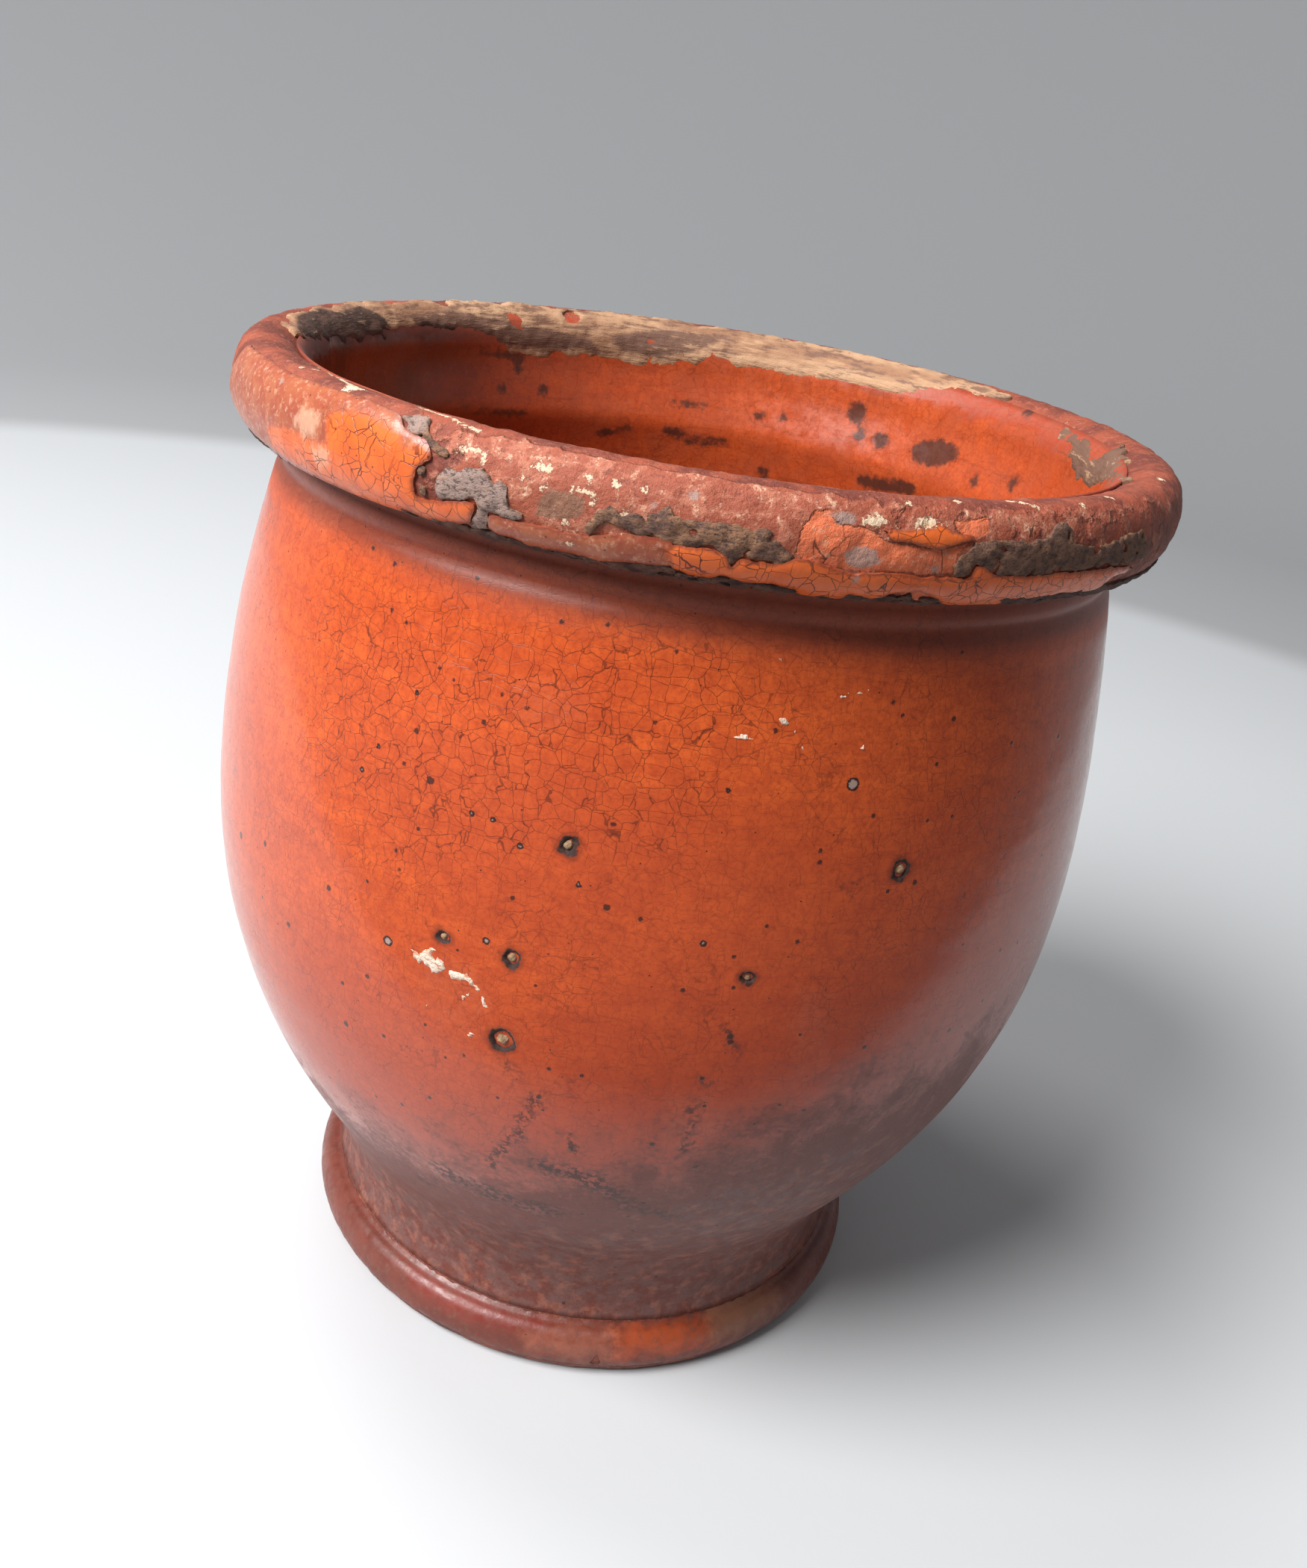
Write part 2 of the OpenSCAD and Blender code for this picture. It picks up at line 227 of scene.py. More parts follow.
class Outline:
    """The clay's outline in millimetres, up the outside, over the roll and down the inside"""

    def __init__(self, shape):
        s = self.size = sizes(shape)
        sink = np.array((s.wall, 0))
        stretches = {
            "underside": straight((0, 0), (s.foot_edge_r, 0)),
            "foot": oval(s.foot_edge_r, s.foot_band_h / 2, s.foot_round, s.foot_band_h / 2, -90, 90),
            "hollow": pull((s.foot_edge_r, s.foot_band_h),
                           (s.foot_edge_r - s.waist_reach, s.foot_band_h + s.waist_rise),
                           (s.waist_top_r - s.slope * s.hollow_pull, s.waist_top_z - s.hollow_pull),
                           (s.waist_top_r, s.waist_top_z)),
            "belly": self.side(s.waist_top_z, s.belly_z),
            "shoulder": self.side(s.belly_z, s.crease_z),
            "neck": self.grooves(),
            "ledge": straight((s.crease_r - s.neck_taper, s.crease_z + s.neck_h),
                              (s.crest_r, s.crease_z + s.neck_h)),
            "roll": oval(s.crest_r, s.roll_z, s.roll_out, s.roll_h / 2, -90, 90),
            "lip": oval(s.crest_r, s.roll_z, s.roll_in, s.roll_h / 2, 90, 180),
            "throat": pull((s.lip_r, s.roll_z), (s.lip_r, s.roll_z - s.neck_h),
                           (s.throat_r, s.crease_z + s.neck_h / 2), (s.throat_r, s.crease_z)),
            "inner shoulder": self.side(s.crease_z, s.belly_z) - sink,
            "inner belly": self.side(s.belly_z, s.waist_top_z) - sink,
            "floor curve": pull((s.inner_r, s.waist_top_z),
                                (s.inner_r - s.slope * s.hollow_pull, s.waist_top_z - s.hollow_pull),
                                (s.inner_r * FLOOR_PULL, s.floor_h), (s.inner_r * FLAT_FLOOR, s.floor_h)),
            "floor": straight((s.inner_r * FLAT_FLOOR, s.floor_h), (0, s.floor_h)),
        }
        points = np.vstack(list(stretches.values()))
        run = np.linalg.norm(np.diff(points, axis=0), axis=1)
        along = np.concatenate(((0,), np.cumsum(run)))
        starts = np.cumsum([0] + [len(line) for line in stretches.values()])[:-1]
        self.start = {name: along[i] for name, i in zip(stretches, starts)}
        self.start["end"] = along[-1]
        kept = np.concatenate(((True,), run > 1e-6))
        self.points = points[kept]
        self.along = along[kept]
        way = np.gradient(self.points, self.along, axis=0)
        way /= np.linalg.norm(way, axis=1)[:, None]
        self.out = np.column_stack((way[:, 1], -way[:, 0]))
        top = np.argmax(self.points[:, 1])
        self.outside = self.points[:top + 1]
        self.inside = self.points[top:][::-1]

    def side(self, low, high):
        """The wall's outside between two heights"""
        s = self.size
        z = low + (high - low) * SHARES
        below = np.clip((s.belly_z - z) / s.lower_belly_h, 0, 1) ** s.lower_curve
        above = np.clip((z - s.belly_z) / s.shoulder_h, 0, 1) ** s.shoulder_curve
        r = s.belly_r - (s.belly_r - s.waist_top_r) * below - s.shoulder_in * above
        return np.column_stack((r, z))

    def grooves(self):
        s = self.size
        depth = s.groove_depth * np.abs(np.sin(2 * np.pi * SHARES))
        r = s.crease_r - s.neck_taper * SHARES - depth
        return np.column_stack((r, s.crease_z + s.neck_h * SHARES))

    def at(self, along):
        """Radius, height and outward direction at distances along the outline"""
        values = (self.points[:, 0], self.points[:, 1], self.out[:, 0], self.out[:, 1])
        return [np.interp(along, self.along, value) for value in values]

    def steps(self, first, last, step):
        """Distances along the outline that divide each stretch between two starts evenly"""
        names = list(self.start)
        cuts = [self.start[name] for name in names[names.index(first):names.index(last) + 1]]
        runs = [np.linspace(a, b, max(2, round((b - a) / step) + 1))[:-1] for a, b in zip(cuts, cuts[1:])]
        return np.concatenate(runs + [cuts[-1:]])

    def nearest(self, r, z):
        """Distance along the outline of the point that lies nearest to each place"""
        gap = (self.points[:, 0] - r[:, None]) ** 2 + (self.points[:, 1] - z[:, None]) ** 2
        return self.along[gap.argmin(axis=1)]

    def sway(self, turn, z):
        """How far the jar is out of true: inwards and downwards at the rim, outwards at the foot"""
        s = self.size
        dip = hump(turn, *RIM_DIP)
        swell = hump(turn, *FOOT_SWELL)
        wave = 0.12 * np.sin(2 * turn + 0.6) + 0.08 * np.sin(3 * turn + 2.1) - 0.2
        high = smooth(z, s.belly_z + 20, s.crease_z + s.neck_h)
        low = 1 - smooth(z, 2, s.waist_top_z)
        return wave * (1 - low) + swell * low - dip * high, -dip * high


def angle_between(turn, degrees):
    """How far each turn in radians lies from an angle in degrees, in degrees"""
    return (np.degrees(turn) - degrees + 180) % 360 - 180


def hump(turn, height, degrees, width):
    """A smooth hump round one side of the jar"""
    return height * np.exp(-(angle_between(turn, degrees) / width) ** 2)


# Distances from the camera, in millimetres, where a ray is tried: from, to and step
SEARCH = (90, 330, 0.12)


class Sight:
    """The photograph's camera, which finds the place on the jar that a pixel shows"""

    def __init__(self, outline, stage):
        self.outline = outline
        self.eye = np.array(stage.eye) / MM
        turn, dip, roll = stage.turn, stage.dip, stage.roll
        level_way = (math.sin(turn) * math.cos(dip), math.cos(turn) * math.cos(dip))
        self.ahead = np.array((*level_way, -math.sin(dip)))
        level = np.array((math.cos(turn), -math.sin(turn), 0))
        upright = np.cross(level, self.ahead)
        self.right = math.cos(roll) * level + math.sin(roll) * upright
        self.up = -math.sin(roll) * level + math.cos(roll) * upright

    def places(self, pixels):
        """Turn in radians and distance along the outline for each pixel"""
        across, down = np.array(pixels, float).T
        rays = (self.ahead * PHOTO_FOCAL + np.outer(across - PHOTO_WIDTH / 2, self.right)
                - np.outer(down - PHOTO_HEIGHT / 2, self.up))
        rays /= np.linalg.norm(rays, axis=1)[:, None]
        reach = np.arange(*SEARCH)
        spots = self.eye + rays[:, None, :] * reach[None, :, None]
        turn = np.arctan2(spots[..., 0], -spots[..., 1])
        out, up = self.outline.sway(turn, spots[..., 2])
        r = np.hypot(spots[..., 0], spots[..., 1]) - out
        z = spots[..., 2] - up
        outer = np.interp(z, self.outline.outside[:, 1], self.outline.outside[:, 0])
        inner = np.interp(z, self.outline.inside[:, 1], self.outline.inside[:, 0])
        over = z - self.outline.size.jar_h
        above = np.hypot(over, r - self.outline.size.crest_r)
        gap = np.where(over < 0, np.maximum(r - outer, inner - r), above)
        gap = np.where(z < 0, 1e3, gap)
        first = np.where((gap <= 0).any(axis=1), (gap <= 0).argmax(axis=1), gap.argmin(axis=1))
        row = np.arange(len(rays))
        return turn[row, first], self.outline.nearest(r[row, first], z[row, first])


# A mark's reach in millimetres far outside it, and how far outside it is still worked out
FAR = -9.0
NEAR = 3.0
# The least radius that the surface round a mark is laid flat with
LEAST_FLAT_R = 5.0


class Mark:
    """A shape on the jar's surface: a closed area, or a line with a half width, in millimetres"""

    def __init__(self, outline, places, half_width=0.0, closed=False):
        turn, along = places
        self.middle = turn[0]
        self.radius = max(LEAST_FLAT_R, outline.at(np.mean(along))[0])
        self.line = self.flat(turn, along)
        self.half_width = half_width
        self.closed = closed

    def flat(self, turn, along):
        """The surface round the mark laid flat"""
        across = (turn - self.middle + np.pi) % (2 * np.pi) - np.pi
        return np.column_stack((across * self.radius, along))

    def reach(self, turn, along):
        """Distance of each place to the mark's edge, positive inside it"""
        spots = self.flat(turn, along)
        margin = self.half_width + NEAR
        low, high = self.line.min(axis=0) - margin, self.line.max(axis=0) + margin
        near = ((spots > low) & (spots < high)).all(axis=1)
        result = np.full(len(spots), FAR)
        x, y = spots[near].T
        gap = np.full(len(x), 1e9)
        inside = np.zeros(len(x), bool)
        ends = np.roll(self.line, -1, axis=0)
        if not self.closed:
            ends[-1] = self.line[-1]
        for (ax, ay), (bx, by) in zip(self.line, ends):
            run = (bx - ax) ** 2 + (by - ay) ** 2
            t = np.clip(((x - ax) * (bx - ax) + (y - ay) * (by - ay)) / run, 0, 1) if run > 1e-9 else 0
            gap = np.minimum(gap, np.hypot(x - ax - t * (bx - ax), y - ay - t * (by - ay)))
            if self.closed and abs(by - ay) > 1e-9:
                inside ^= ((ay > y) != (by > y)) & (x < (bx - ax) * (y - ay) / (by - ay) + ax)
        result[near] = np.where(inside, gap, self.half_width - gap)
        return result


def reach_of(marks, turn, along):
    """The furthest that any of the marks reaches over each place"""
    result = np.full(len(turn), FAR)
    for mark in marks:
        np.maximum(result, mark.reach(turn, along), out=result)
    return result


def grain(spots, size, octaves=3, shift=0.0):
    """Noise from about -1 to 1 with features of one size in millimetres"""
    return np.array([noise.fractal(spot, 1.0, 2.0, octaves) for spot in (spots / size + shift).tolist()])


# Shapes traced on the photograph in its pixels, lines with a half width in millimetres
RIM_GLAZE_LEFT = (
    (308, 545), (306, 520), (318, 482), (336, 462), (360, 480), (392, 500), (430, 514), (468, 526),
    (505, 540), (538, 556), (541, 572), (574, 592), (579, 614), (560, 623), (553, 646), (560, 668),
    (583, 671), (623, 670), (639, 674), (630, 699), (606, 700), (574, 694), (546, 682), (520, 684),
    (488, 672), (458, 658), (430, 645), (392, 627), (355, 606), (328, 582))
RIM_GLAZE_BRIGHT = (
    (442, 557), (471, 554), (497, 557), (517, 571), (537, 580), (543, 600), (571, 597), (579, 614),
    (560, 623), (553, 646), (560, 668), (583, 671), (639, 674), (630, 694), (606, 696), (574, 689),
    (546, 677), (520, 680), (488, 668), (471, 654), (442, 643), (413, 628), (391, 617), (368, 597),
    (362, 571), (391, 577), (419, 588), (442, 594))
RIM_GLAZE_LOW_LEFT = (
    (656, 689), (705, 702), (735, 707), (783, 718), (811, 716), (838, 712), (873, 718), (900, 725),
    (900, 757), (868, 755), (838, 751), (804, 751), (770, 741), (735, 734), (710, 730), (687, 718),
    (669, 716), (654, 707))
RIM_GLAZE_LOW = (
    (891, 732), (909, 730), (955, 735), (973, 742), (980, 758), (992, 747), (1035, 755), (1068, 749),
    (1092, 751), (1114, 761), (1146, 769), (1196, 767), (1231, 772), (1274, 774), (1296, 776),
    (1306, 761), (1321, 761), (1328, 770), (1371, 772), (1410, 769), (1453, 765), (1489, 758),
    (1521, 758), (1489, 772), (1464, 790), (1417, 794), (1381, 802), (1346, 801), (1310, 811),
    (1281, 813), (1256, 801), (1231, 790), (1199, 794), (1167, 801), (1139, 794), (1081, 797),
    (1065, 790), (1035, 781), (992, 778), (967, 769), (948, 774), (921, 767), (902, 762))
RIM_GLAZE_HIGH = (
    (1181, 708), (1217, 711), (1260, 701), (1274, 711), (1310, 722), (1289, 726), (1260, 736),
    (1217, 727), (1196, 726))
CRUST_SMALL = (
    (540, 557), (553, 559), (562, 555), (573, 556), (577, 562), (573, 570), (572, 578), (563, 581),
    (550, 580), (545, 575), (547, 566))
CRUST_TAIL = ((570, 583), (580, 592), (597, 610))
CRUST_DOTS = ((563, 630, 0.5), (566, 658, 0.55))
CRUST_LILAC = (
    (584, 640), (597, 629), (616, 628), (632, 625), (646, 631), (655, 638), (659, 647), (671, 648),
    (680, 654), (678, 668), (682, 679), (696, 689), (703, 698), (687, 695), (669, 690), (655, 687),
    (656, 698), (652, 709), (641, 707), (631, 709), (632, 695), (639, 684), (641, 675), (636, 666),
    (627, 664), (618, 670), (604, 668), (590, 668), (585, 661), (582, 652))
CRUST_DARK = (
    (783, 712), (797, 687), (804, 677), (820, 680), (831, 689), (852, 691), (879, 689), (898, 676),
    (901, 689), (916, 698), (967, 700), (985, 705), (1008, 710), (1031, 705), (1039, 719), (1049, 735),
    (1065, 745), (1058, 752), (1040, 757), (1031, 751), (1008, 746), (990, 744), (986, 751), (976, 758),
    (973, 749), (962, 735), (944, 730), (925, 736), (909, 727), (889, 727), (875, 719), (852, 715),
    (833, 708), (815, 696), (801, 705), (788, 716))
CRUST_BROWN = (
    (1278, 758), (1289, 744), (1310, 728), (1328, 724), (1356, 726), (1389, 726), (1410, 719),
    (1417, 701), (1430, 699), (1437, 711), (1435, 726), (1456, 733), (1489, 729), (1506, 715),
    (1531, 711), (1539, 726), (1535, 744), (1510, 754), (1481, 754), (1453, 765), (1417, 765),
    (1392, 772), (1364, 772), (1342, 770), (1324, 763), (1306, 756), (1292, 772), (1281, 774))
PEELED = (
    (1076, 705), (1092, 683), (1112, 683), (1120, 700), (1160, 706), (1196, 728), (1262, 737),
    (1300, 728), (1283, 745), (1276, 770), (1231, 770), (1190, 766), (1146, 768), (1112, 760),
    (1082, 748), (1066, 742))
PEELED_CHIP = ((1280, 697), (1325, 694), (1328, 712), (1312, 721), (1285, 712))
RIM_WINDOW = (
    (716, 690), (722, 668), (738, 656), (765, 660), (783, 668), (780, 690), (760, 697), (735, 695))
RIM_GREY = (
    ((1131, 741), (1150, 733), (1176, 738), (1178, 757), (1155, 765), (1136, 759)), ((1114, 688),
    (1130, 683), (1149, 690), (1146, 703), (1122, 704)))
RIM_GREY_DOTS = ((1253, 765, 0.5), (1146, 774, 0.4), (931, 662, 0.5), (875, 680, 0.4), (380, 512, 0.35))
RIM_CREAM = (
    ((456, 524), (470, 513), (486, 512), (520, 524), (492, 521)), ((713, 624), (722, 617), (740, 626),
    (738, 632)), ((1156, 702), (1160, 691), (1178, 689), (1190, 698), (1176, 705)), ((1225, 704),
    (1232, 692), (1254, 691), (1264, 702), (1246, 707)))
RIM_CREAM_TRAILS = (
    (((612, 602), (630, 600), (649, 608), (645, 622)), 0.2),
    (((765, 657), (780, 655), (795, 663), (792, 672)), 0.2),
    (((1350, 667), (1372, 672), (1392, 679)), 0.2), (((1035, 792), (1050, 797), (1063, 799)), 0.2),
    (((442, 498), (456, 502), (465, 505)), 0.2), (((560, 541), (600, 556), (640, 575)), 0.2))
RIM_CREAM_DOTS = (
    (405, 489, 0.3), (424, 493, 0.3), (728, 652, 0.35), (790, 640, 0.35), (825, 648, 0.4),
    (836, 690, 0.45), (765, 725, 0.35), (1218, 673, 0.3), (1285, 670, 0.4), (1451, 674, 0.4),
    (1487, 664, 0.45), (1556, 640, 0.6), (700, 640, 0.3), (756, 700, 0.3), (863, 655, 0.3))
RIM_PEELED_LOW = ((1199, 794), (1220, 790), (1253, 797), (1250, 808), (1222, 806))
RIM_SCARS = (
    ((419, 600), (430, 597), (445, 606), (442, 620), (428, 625)), ((396, 556), (412, 548), (431, 560),
    (428, 580), (410, 588)))
EDGE_TRAILS = (
    (((413, 643), (445, 656), (488, 666)), 0.6), (((506, 675), (528, 683)), 0.35), (((540, 680),
    (570, 690)), 0.45), (((602, 699), (627, 710)), 0.5), (((659, 719), (710, 733)), 0.45), (((724, 740),
    (770, 746)), 0.4), (((788, 751), (840, 757), (900, 763)), 0.55), (((872, 748), (896, 750)), 0.55),
    (((907, 768), (925, 774)), 0.35), (((944, 776), (992, 779)), 0.45), (((992, 783), (1058, 791)), 0.5),
    (((1060, 799), (1199, 802)), 0.3), (((1231, 806), (1274, 812)), 0.4), (((1281, 806), (1331, 808)),
    0.7), (((1346, 800), (1485, 805)), 0.6))
LIP_EDGE = (
    (558, 439), (638, 446), (656, 453), (684, 476), (713, 480), (739, 476), (782, 479), (829, 485),
    (859, 494), (926, 488), (955, 479), (982, 491), (1029, 499), (1064, 506), (1117, 514), (1178, 523),
    (1260, 524), (1350, 540))
# A dark stain at the lip's left end, painted darker with the shade that falls inside there
LIP_STAIN_AND_SHADE = (
    (397, 446), (399, 426), (424, 417), (455, 421), (480, 413), (506, 424), (523, 442), (515, 456),
    (486, 462), (455, 470), (424, 466), (406, 458))
# A painted shadow line under the scale's edge inside the lip
LIP_SHADOW_LINE = ((565, 436), (600, 443), (640, 449), (662, 458))
LIP_BROWN = (
    (818, 452), (850, 446), (900, 445), (950, 450), (964, 460), (930, 472), (880, 478), (835, 470))
LIP_BROWN_LEFT = (
    (545, 425), (600, 418), (660, 428), (720, 440), (790, 455), (800, 470), (740, 468), (680, 462),
    (620, 445), (560, 440))
LIP_RIGHT = (
    (1411, 578), (1440, 574), (1472, 592), (1470, 612), (1485, 606), (1506, 596), (1508, 625),
    (1504, 650), (1480, 662), (1455, 660), (1440, 640), (1428, 612))
LIP_BARE = ((587, 404, 1.6), (713, 406, 1.7), (765, 424, 1.5), (690, 430, 0.8), (1300, 505, 1.8))
LINING_SPOTS = (
    (1019, 558, 0.9), (1049, 561, 0.8), (1149, 553, 1.9), (1152, 583, 1.3), (1181, 591, 1.5),
    (1307, 645, 1.0), (1359, 648, 1.2), (692, 489, 1.0), (671, 520, 0.8), (726, 524, 1.0),
    (1380, 553, 1.2), (891, 617, 1.0), (1023, 633, 1.1))
LINING_TRAILS = (
    (((903, 541), (941, 544)), 0.6), (((800, 577), (841, 575)), 0.6), (((891, 573), (930, 588),
    (970, 592)), 0.8), (((1158, 646), (1222, 655)), 1.1), (((620, 548), (700, 556)), 0.5), (((640, 470),
    (700, 478)), 0.6))
LINING_PATCH = (
    (1218, 607), (1232, 592), (1262, 588), (1284, 597), (1289, 612), (1270, 624), (1245, 626), (1226, 618))
CRAZED = (
    (440, 760), (640, 790), (1000, 850), (1040, 950), (980, 1120), (700, 1180), (480, 1150), (400, 1000))
# Spots as pixels and a radius in millimetres
SPECKS = (
    (502, 738, 0.25), (532, 753, 0.3), (528, 816, 0.25), (753, 836, 0.3), (815, 833, 0.25),
    (590, 898, 0.25), (609, 913, 0.2), (674, 933, 0.25), (708, 947, 0.25), (650, 967, 0.3),
    (560, 980, 0.35), (544, 1020, 0.3), (579, 1042, 0.5), (878, 967, 0.25), (822, 1102, 0.3),
    (1194, 944, 0.25), (1208, 954, 0.25), (813, 1216, 0.4), (859, 1225, 0.3), (443, 1186, 0.4),
    (389, 1239, 0.4), (494, 1309, 0.35), (461, 1314, 0.3), (466, 1371, 0.45), (516, 1384, 0.3),
    (577, 1465, 0.3), (540, 1478, 0.3), (623, 1408, 0.25), (736, 1432, 0.3), (780, 1435, 0.3),
    (723, 1466, 0.35), (1097, 1140, 0.3), (1097, 1150, 0.3), (1002, 1314, 0.35), (1053, 1279, 0.25),
    (1067, 1259, 0.3), (982, 1279, 0.25), (914, 1327, 0.3), (978, 1383, 0.4), (978, 1394, 0.4),
    (940, 1443, 0.35), (689, 1197, 0.3), (538, 1163, 0.25), (532, 1141, 0.25), (906, 873, 0.25),
    (1205, 1179, 0.3), (326, 783, 0.6), (326, 1118, 0.5), (358, 1126, 0.4), (1038, 977, 0.3),
    (765, 1534, 0.4), (738, 1563, 0.35), (585, 1579, 0.4))
STONES = (
    (522, 1260, 0.6), (653, 1257, 0.4), (633, 1092, 0.3), (662, 1096, 0.3), (698, 1130, 0.35),
    (776, 1184, 0.35), (941, 1265, 0.35), (1141, 1049, 0.7), (487, 1032, 0.3), (561, 926, 0.25),
    (509, 1002, 0.25), (974, 1060, 0.25), (770, 1126, 0.45), (760, 1134, 0.3), (438, 1518, 0.7))
HAZES = (
    ((690, 915), (730, 905), (784, 925), (778, 968), (720, 975), (688, 950)), ((1070, 1330), (1100, 1326),
    (1111, 1360), (1100, 1425), (1068, 1420), (1062, 1370)), ((900, 1462), (955, 1457), (969, 1500),
    (940, 1548), (895, 1540), (889, 1495)), ((560, 1275), (600, 1280), (650, 1310), (660, 1345),
    (640, 1375), (600, 1370), (570, 1330)), ((400, 640), (430, 640), (470, 700), (430, 720)))
BURNS = (
    (((721, 1466), (702, 1500), (683, 1525), (656, 1556)), 0.9), (((933, 1468), (926, 1500), (918, 1541)),
    0.6), (((600, 1570), (650, 1590), (700, 1610), (740, 1620)), 2.2), (((730, 1560), (790, 1575),
    (830, 1600)), 1.6), (((760, 1515), (775, 1545)), 0.7), (((680, 1420), (695, 1440)), 0.8),
    (((560, 1575), (590, 1585)), 0.8), (((840, 1610), (900, 1625)), 1.2), (((972, 1380), (984, 1398)),
    0.6), (((930, 1440), (945, 1450)), 0.5), (((1130, 1188), (1145, 1194)), 0.5))
RED_STRIPE = (
    (545, 1695), (580, 1712), (630, 1738), (680, 1756), (729, 1768), (729, 1782), (670, 1776),
    (610, 1756), (570, 1735), (548, 1712))
FOOT_ORANGE = ((824, 1778), (880, 1772), (946, 1765), (948, 1800), (900, 1812), (830, 1815))
FOOT_TAN = ((946, 1740), (1000, 1728), (1041, 1720), (1042, 1750), (990, 1782), (948, 1790))
FOOT_PINK = ((700, 1780), (760, 1790), (819, 1785), (819, 1815), (760, 1815), (705, 1805))
# The burnt glaze's upper edge as degrees round and millimetres up
SCORCH_EDGE = (
    (-180, 46), (-90, 42), (-50, 40), (-30, 42), (-12, 47), (0, 51), (11, 57), (25, 65), (42, 68),
    (65, 62), (95, 52), (180, 46))
LIME_AREAS = (
    ((553, 1272), (560, 1266), (576, 1269), (592, 1280), (608, 1291), (627, 1300), (642, 1311),
    (654, 1326), (657, 1346), (650, 1344), (641, 1331), (628, 1319), (612, 1311), (595, 1305),
    (580, 1297), (566, 1290), (556, 1283)), ((1040, 964), (1054, 958), (1070, 966), (1064, 978),
    (1046, 980)))
LIME_TRAILS = (
    (((641, 1380), (630, 1383)), 0.3), (((560, 1346), (573, 1352)), 0.35), (((618, 1330), (626, 1340)),
    0.3), (((612, 1376), (616, 1380)), 0.3), (((981, 981), (994, 989), (1022, 991)), 0.28), (((1040, 880),
    (1056, 882)), 0.12), (((1086, 884), (1102, 886)), 0.12), (((1150, 876), (1176, 890)), 0.12),
    (((1137, 928), (1160, 926)), 0.2), (((1128, 940), (1136, 941)), 0.2), (((1048, 955), (1060, 950)),
    0.15), (((1078, 996), (1092, 984)), 0.2), (((1140, 998), (1152, 1000)), 0.25))
# Marks where the photograph shows nothing, as degrees round, millimetres along and a radius
LIME_BEHIND = (
    (128, 108, 0.8), (131, 106, 0.6), (-152, 138, 0.7), (-149, 139, 0.5), (176, 96, 0.6), (-118, 121, 0.6))
BURNS_BEHIND = (
    (96, 92, 2.2), (104, 88, 1.6), (150, 86, 2.0), (158, 91, 1.2), (-170, 95, 1.6), (-128, 88, 2.2),
    (-100, 93, 1.4), (-82, 90, 1.8))
STONES_BEHIND = (
    (75, 132, 0.5), (92, 148, 0.4), (106, 118, 0.6), (139, 156, 0.5), (160, 126, 0.5), (-165, 150, 0.4),
    (-144, 112, 0.6), (-121, 140, 0.5), (-98, 128, 0.4), (-84, 152, 0.5), (-72, 116, 0.4))
# The burst pits as degrees round, a share of the height and a share of the largest pit
PIT_SHARES = (
    (-10.9, 0.508, 1), (-10.9, 0.589, 0.72), (-6.9, 0.699, 0.68), (28.7, 0.698, 0.8), (-18.6, 0.589, 0.5),
    (13.4, 0.602, 0.5), (118, 0.55, 0.7), (-140, 0.62, 0.8), (172, 0.4, 0.6))


class Skin:
    """A piece's vertices as places on the jar"""

    def __init__(self, outline, mesh):
        self.outline = outline
        self.mesh = mesh
        co = np.empty((len(mesh.vertices), 3))
        mesh.vertices.foreach_get("co", co.ravel())
        self.turn = np.arctan2(co[:, 0], -co[:, 1])
        self.along = self.layer("along")
        self.off = self.layer("off")
        self.r, self.z, self.out_r, self.out_z = outline.at(self.along)
        self.spots = spots_at(outline, self.turn, self.along)

    def layer(self, name):
        values = np.empty(len(self.mesh.vertices))
        self.mesh.attributes[name].data.foreach_get("value", values)
        return values

    def settle(self, relief):
        """Puts each vertex at its place, raised by relief in millimetres"""
        lift = self.off + relief
        r = self.r + self.out_r * lift
        z = self.z + self.out_z * lift
        out, up = self.outline.sway(self.turn, z)
        r = np.maximum(r + out * np.minimum(1, self.r / AXIS_FADE), 0)
        z = np.clip(z + up, 0, self.outline.size.jar_h)
        co = np.column_stack((r * np.sin(self.turn), -r * np.cos(self.turn), z)) * MM
        self.mesh.vertices.foreach_set("co", co.ravel())
        self.mesh.update()

    def note(self, name, values):
        """Keeps a value for each vertex that the materials read"""
        layer = self.mesh.attributes.new(name, "FLOAT", "POINT")
        layer.data.foreach_set("value", np.asarray(values, np.float32))

    def mark(self, name, marks):
        """Keeps how far inside marks each vertex lies"""
        self.note(name, reach_of(marks, self.turn, self.along))


SPIN_STEPS = 120
# How deep, in millimetres, the back of a glaze coat is sunk into the clay
COAT_SUNK = 0.05
# How far outside a field's edge, in millimetres, a strip is kept before it is cut
KEPT = 1.2
# How near to a vertex, as a share of its edge, a cut may fall
CUT_SHARE = 0.08


def tracks(mesh):
    """The two values on every vertex of a turned bmesh: along the outline, and off it"""
    return mesh.verts.layers.float["along"], mesh.verts.layers.float["off"]


def spun(mesh, verts, pairs, steps):
    """Turns a line of vertices about the jar's axis"""
    edges = [mesh.edges.new(pair) for pair in pairs]
    bmesh.ops.spin(mesh, geom=verts + edges, cent=(0, 0, 0), axis=(0, 0, 1), dvec=(0, 0, 0),
                   angle=math.tau, steps=steps, use_merge=True, use_duplicate=False)
    bmesh.ops.remove_doubles(mesh, verts=mesh.verts[:], dist=1e-6)


def turned(outline, line, closed=False):
    """A bmesh turned from a line of (along, off) pairs; an open line ends on the axis or stays a sheet"""
    mesh = bmesh.new()
    for name in ("along", "off"):
        mesh.verts.layers.float.new(name)
    along_layer, off_layer = tracks(mesh)
    verts = []
    for along, off in line:
        r, z, out_r, out_z = outline.at(along)
        vert = mesh.verts.new((0, -(r + out_r * off) * MM, (z + out_z * off) * MM))
        vert[along_layer] = along
        vert[off_layer] = off
        verts.append(vert)
    pairs = list(zip(verts, verts[1:] + verts[:1] if closed else verts[1:]))
    spun(mesh, verts, [(a, b) for a, b in pairs if max(abs(a.co.y), abs(b.co.y)) > 1e-7], SPIN_STEPS)
    return mesh


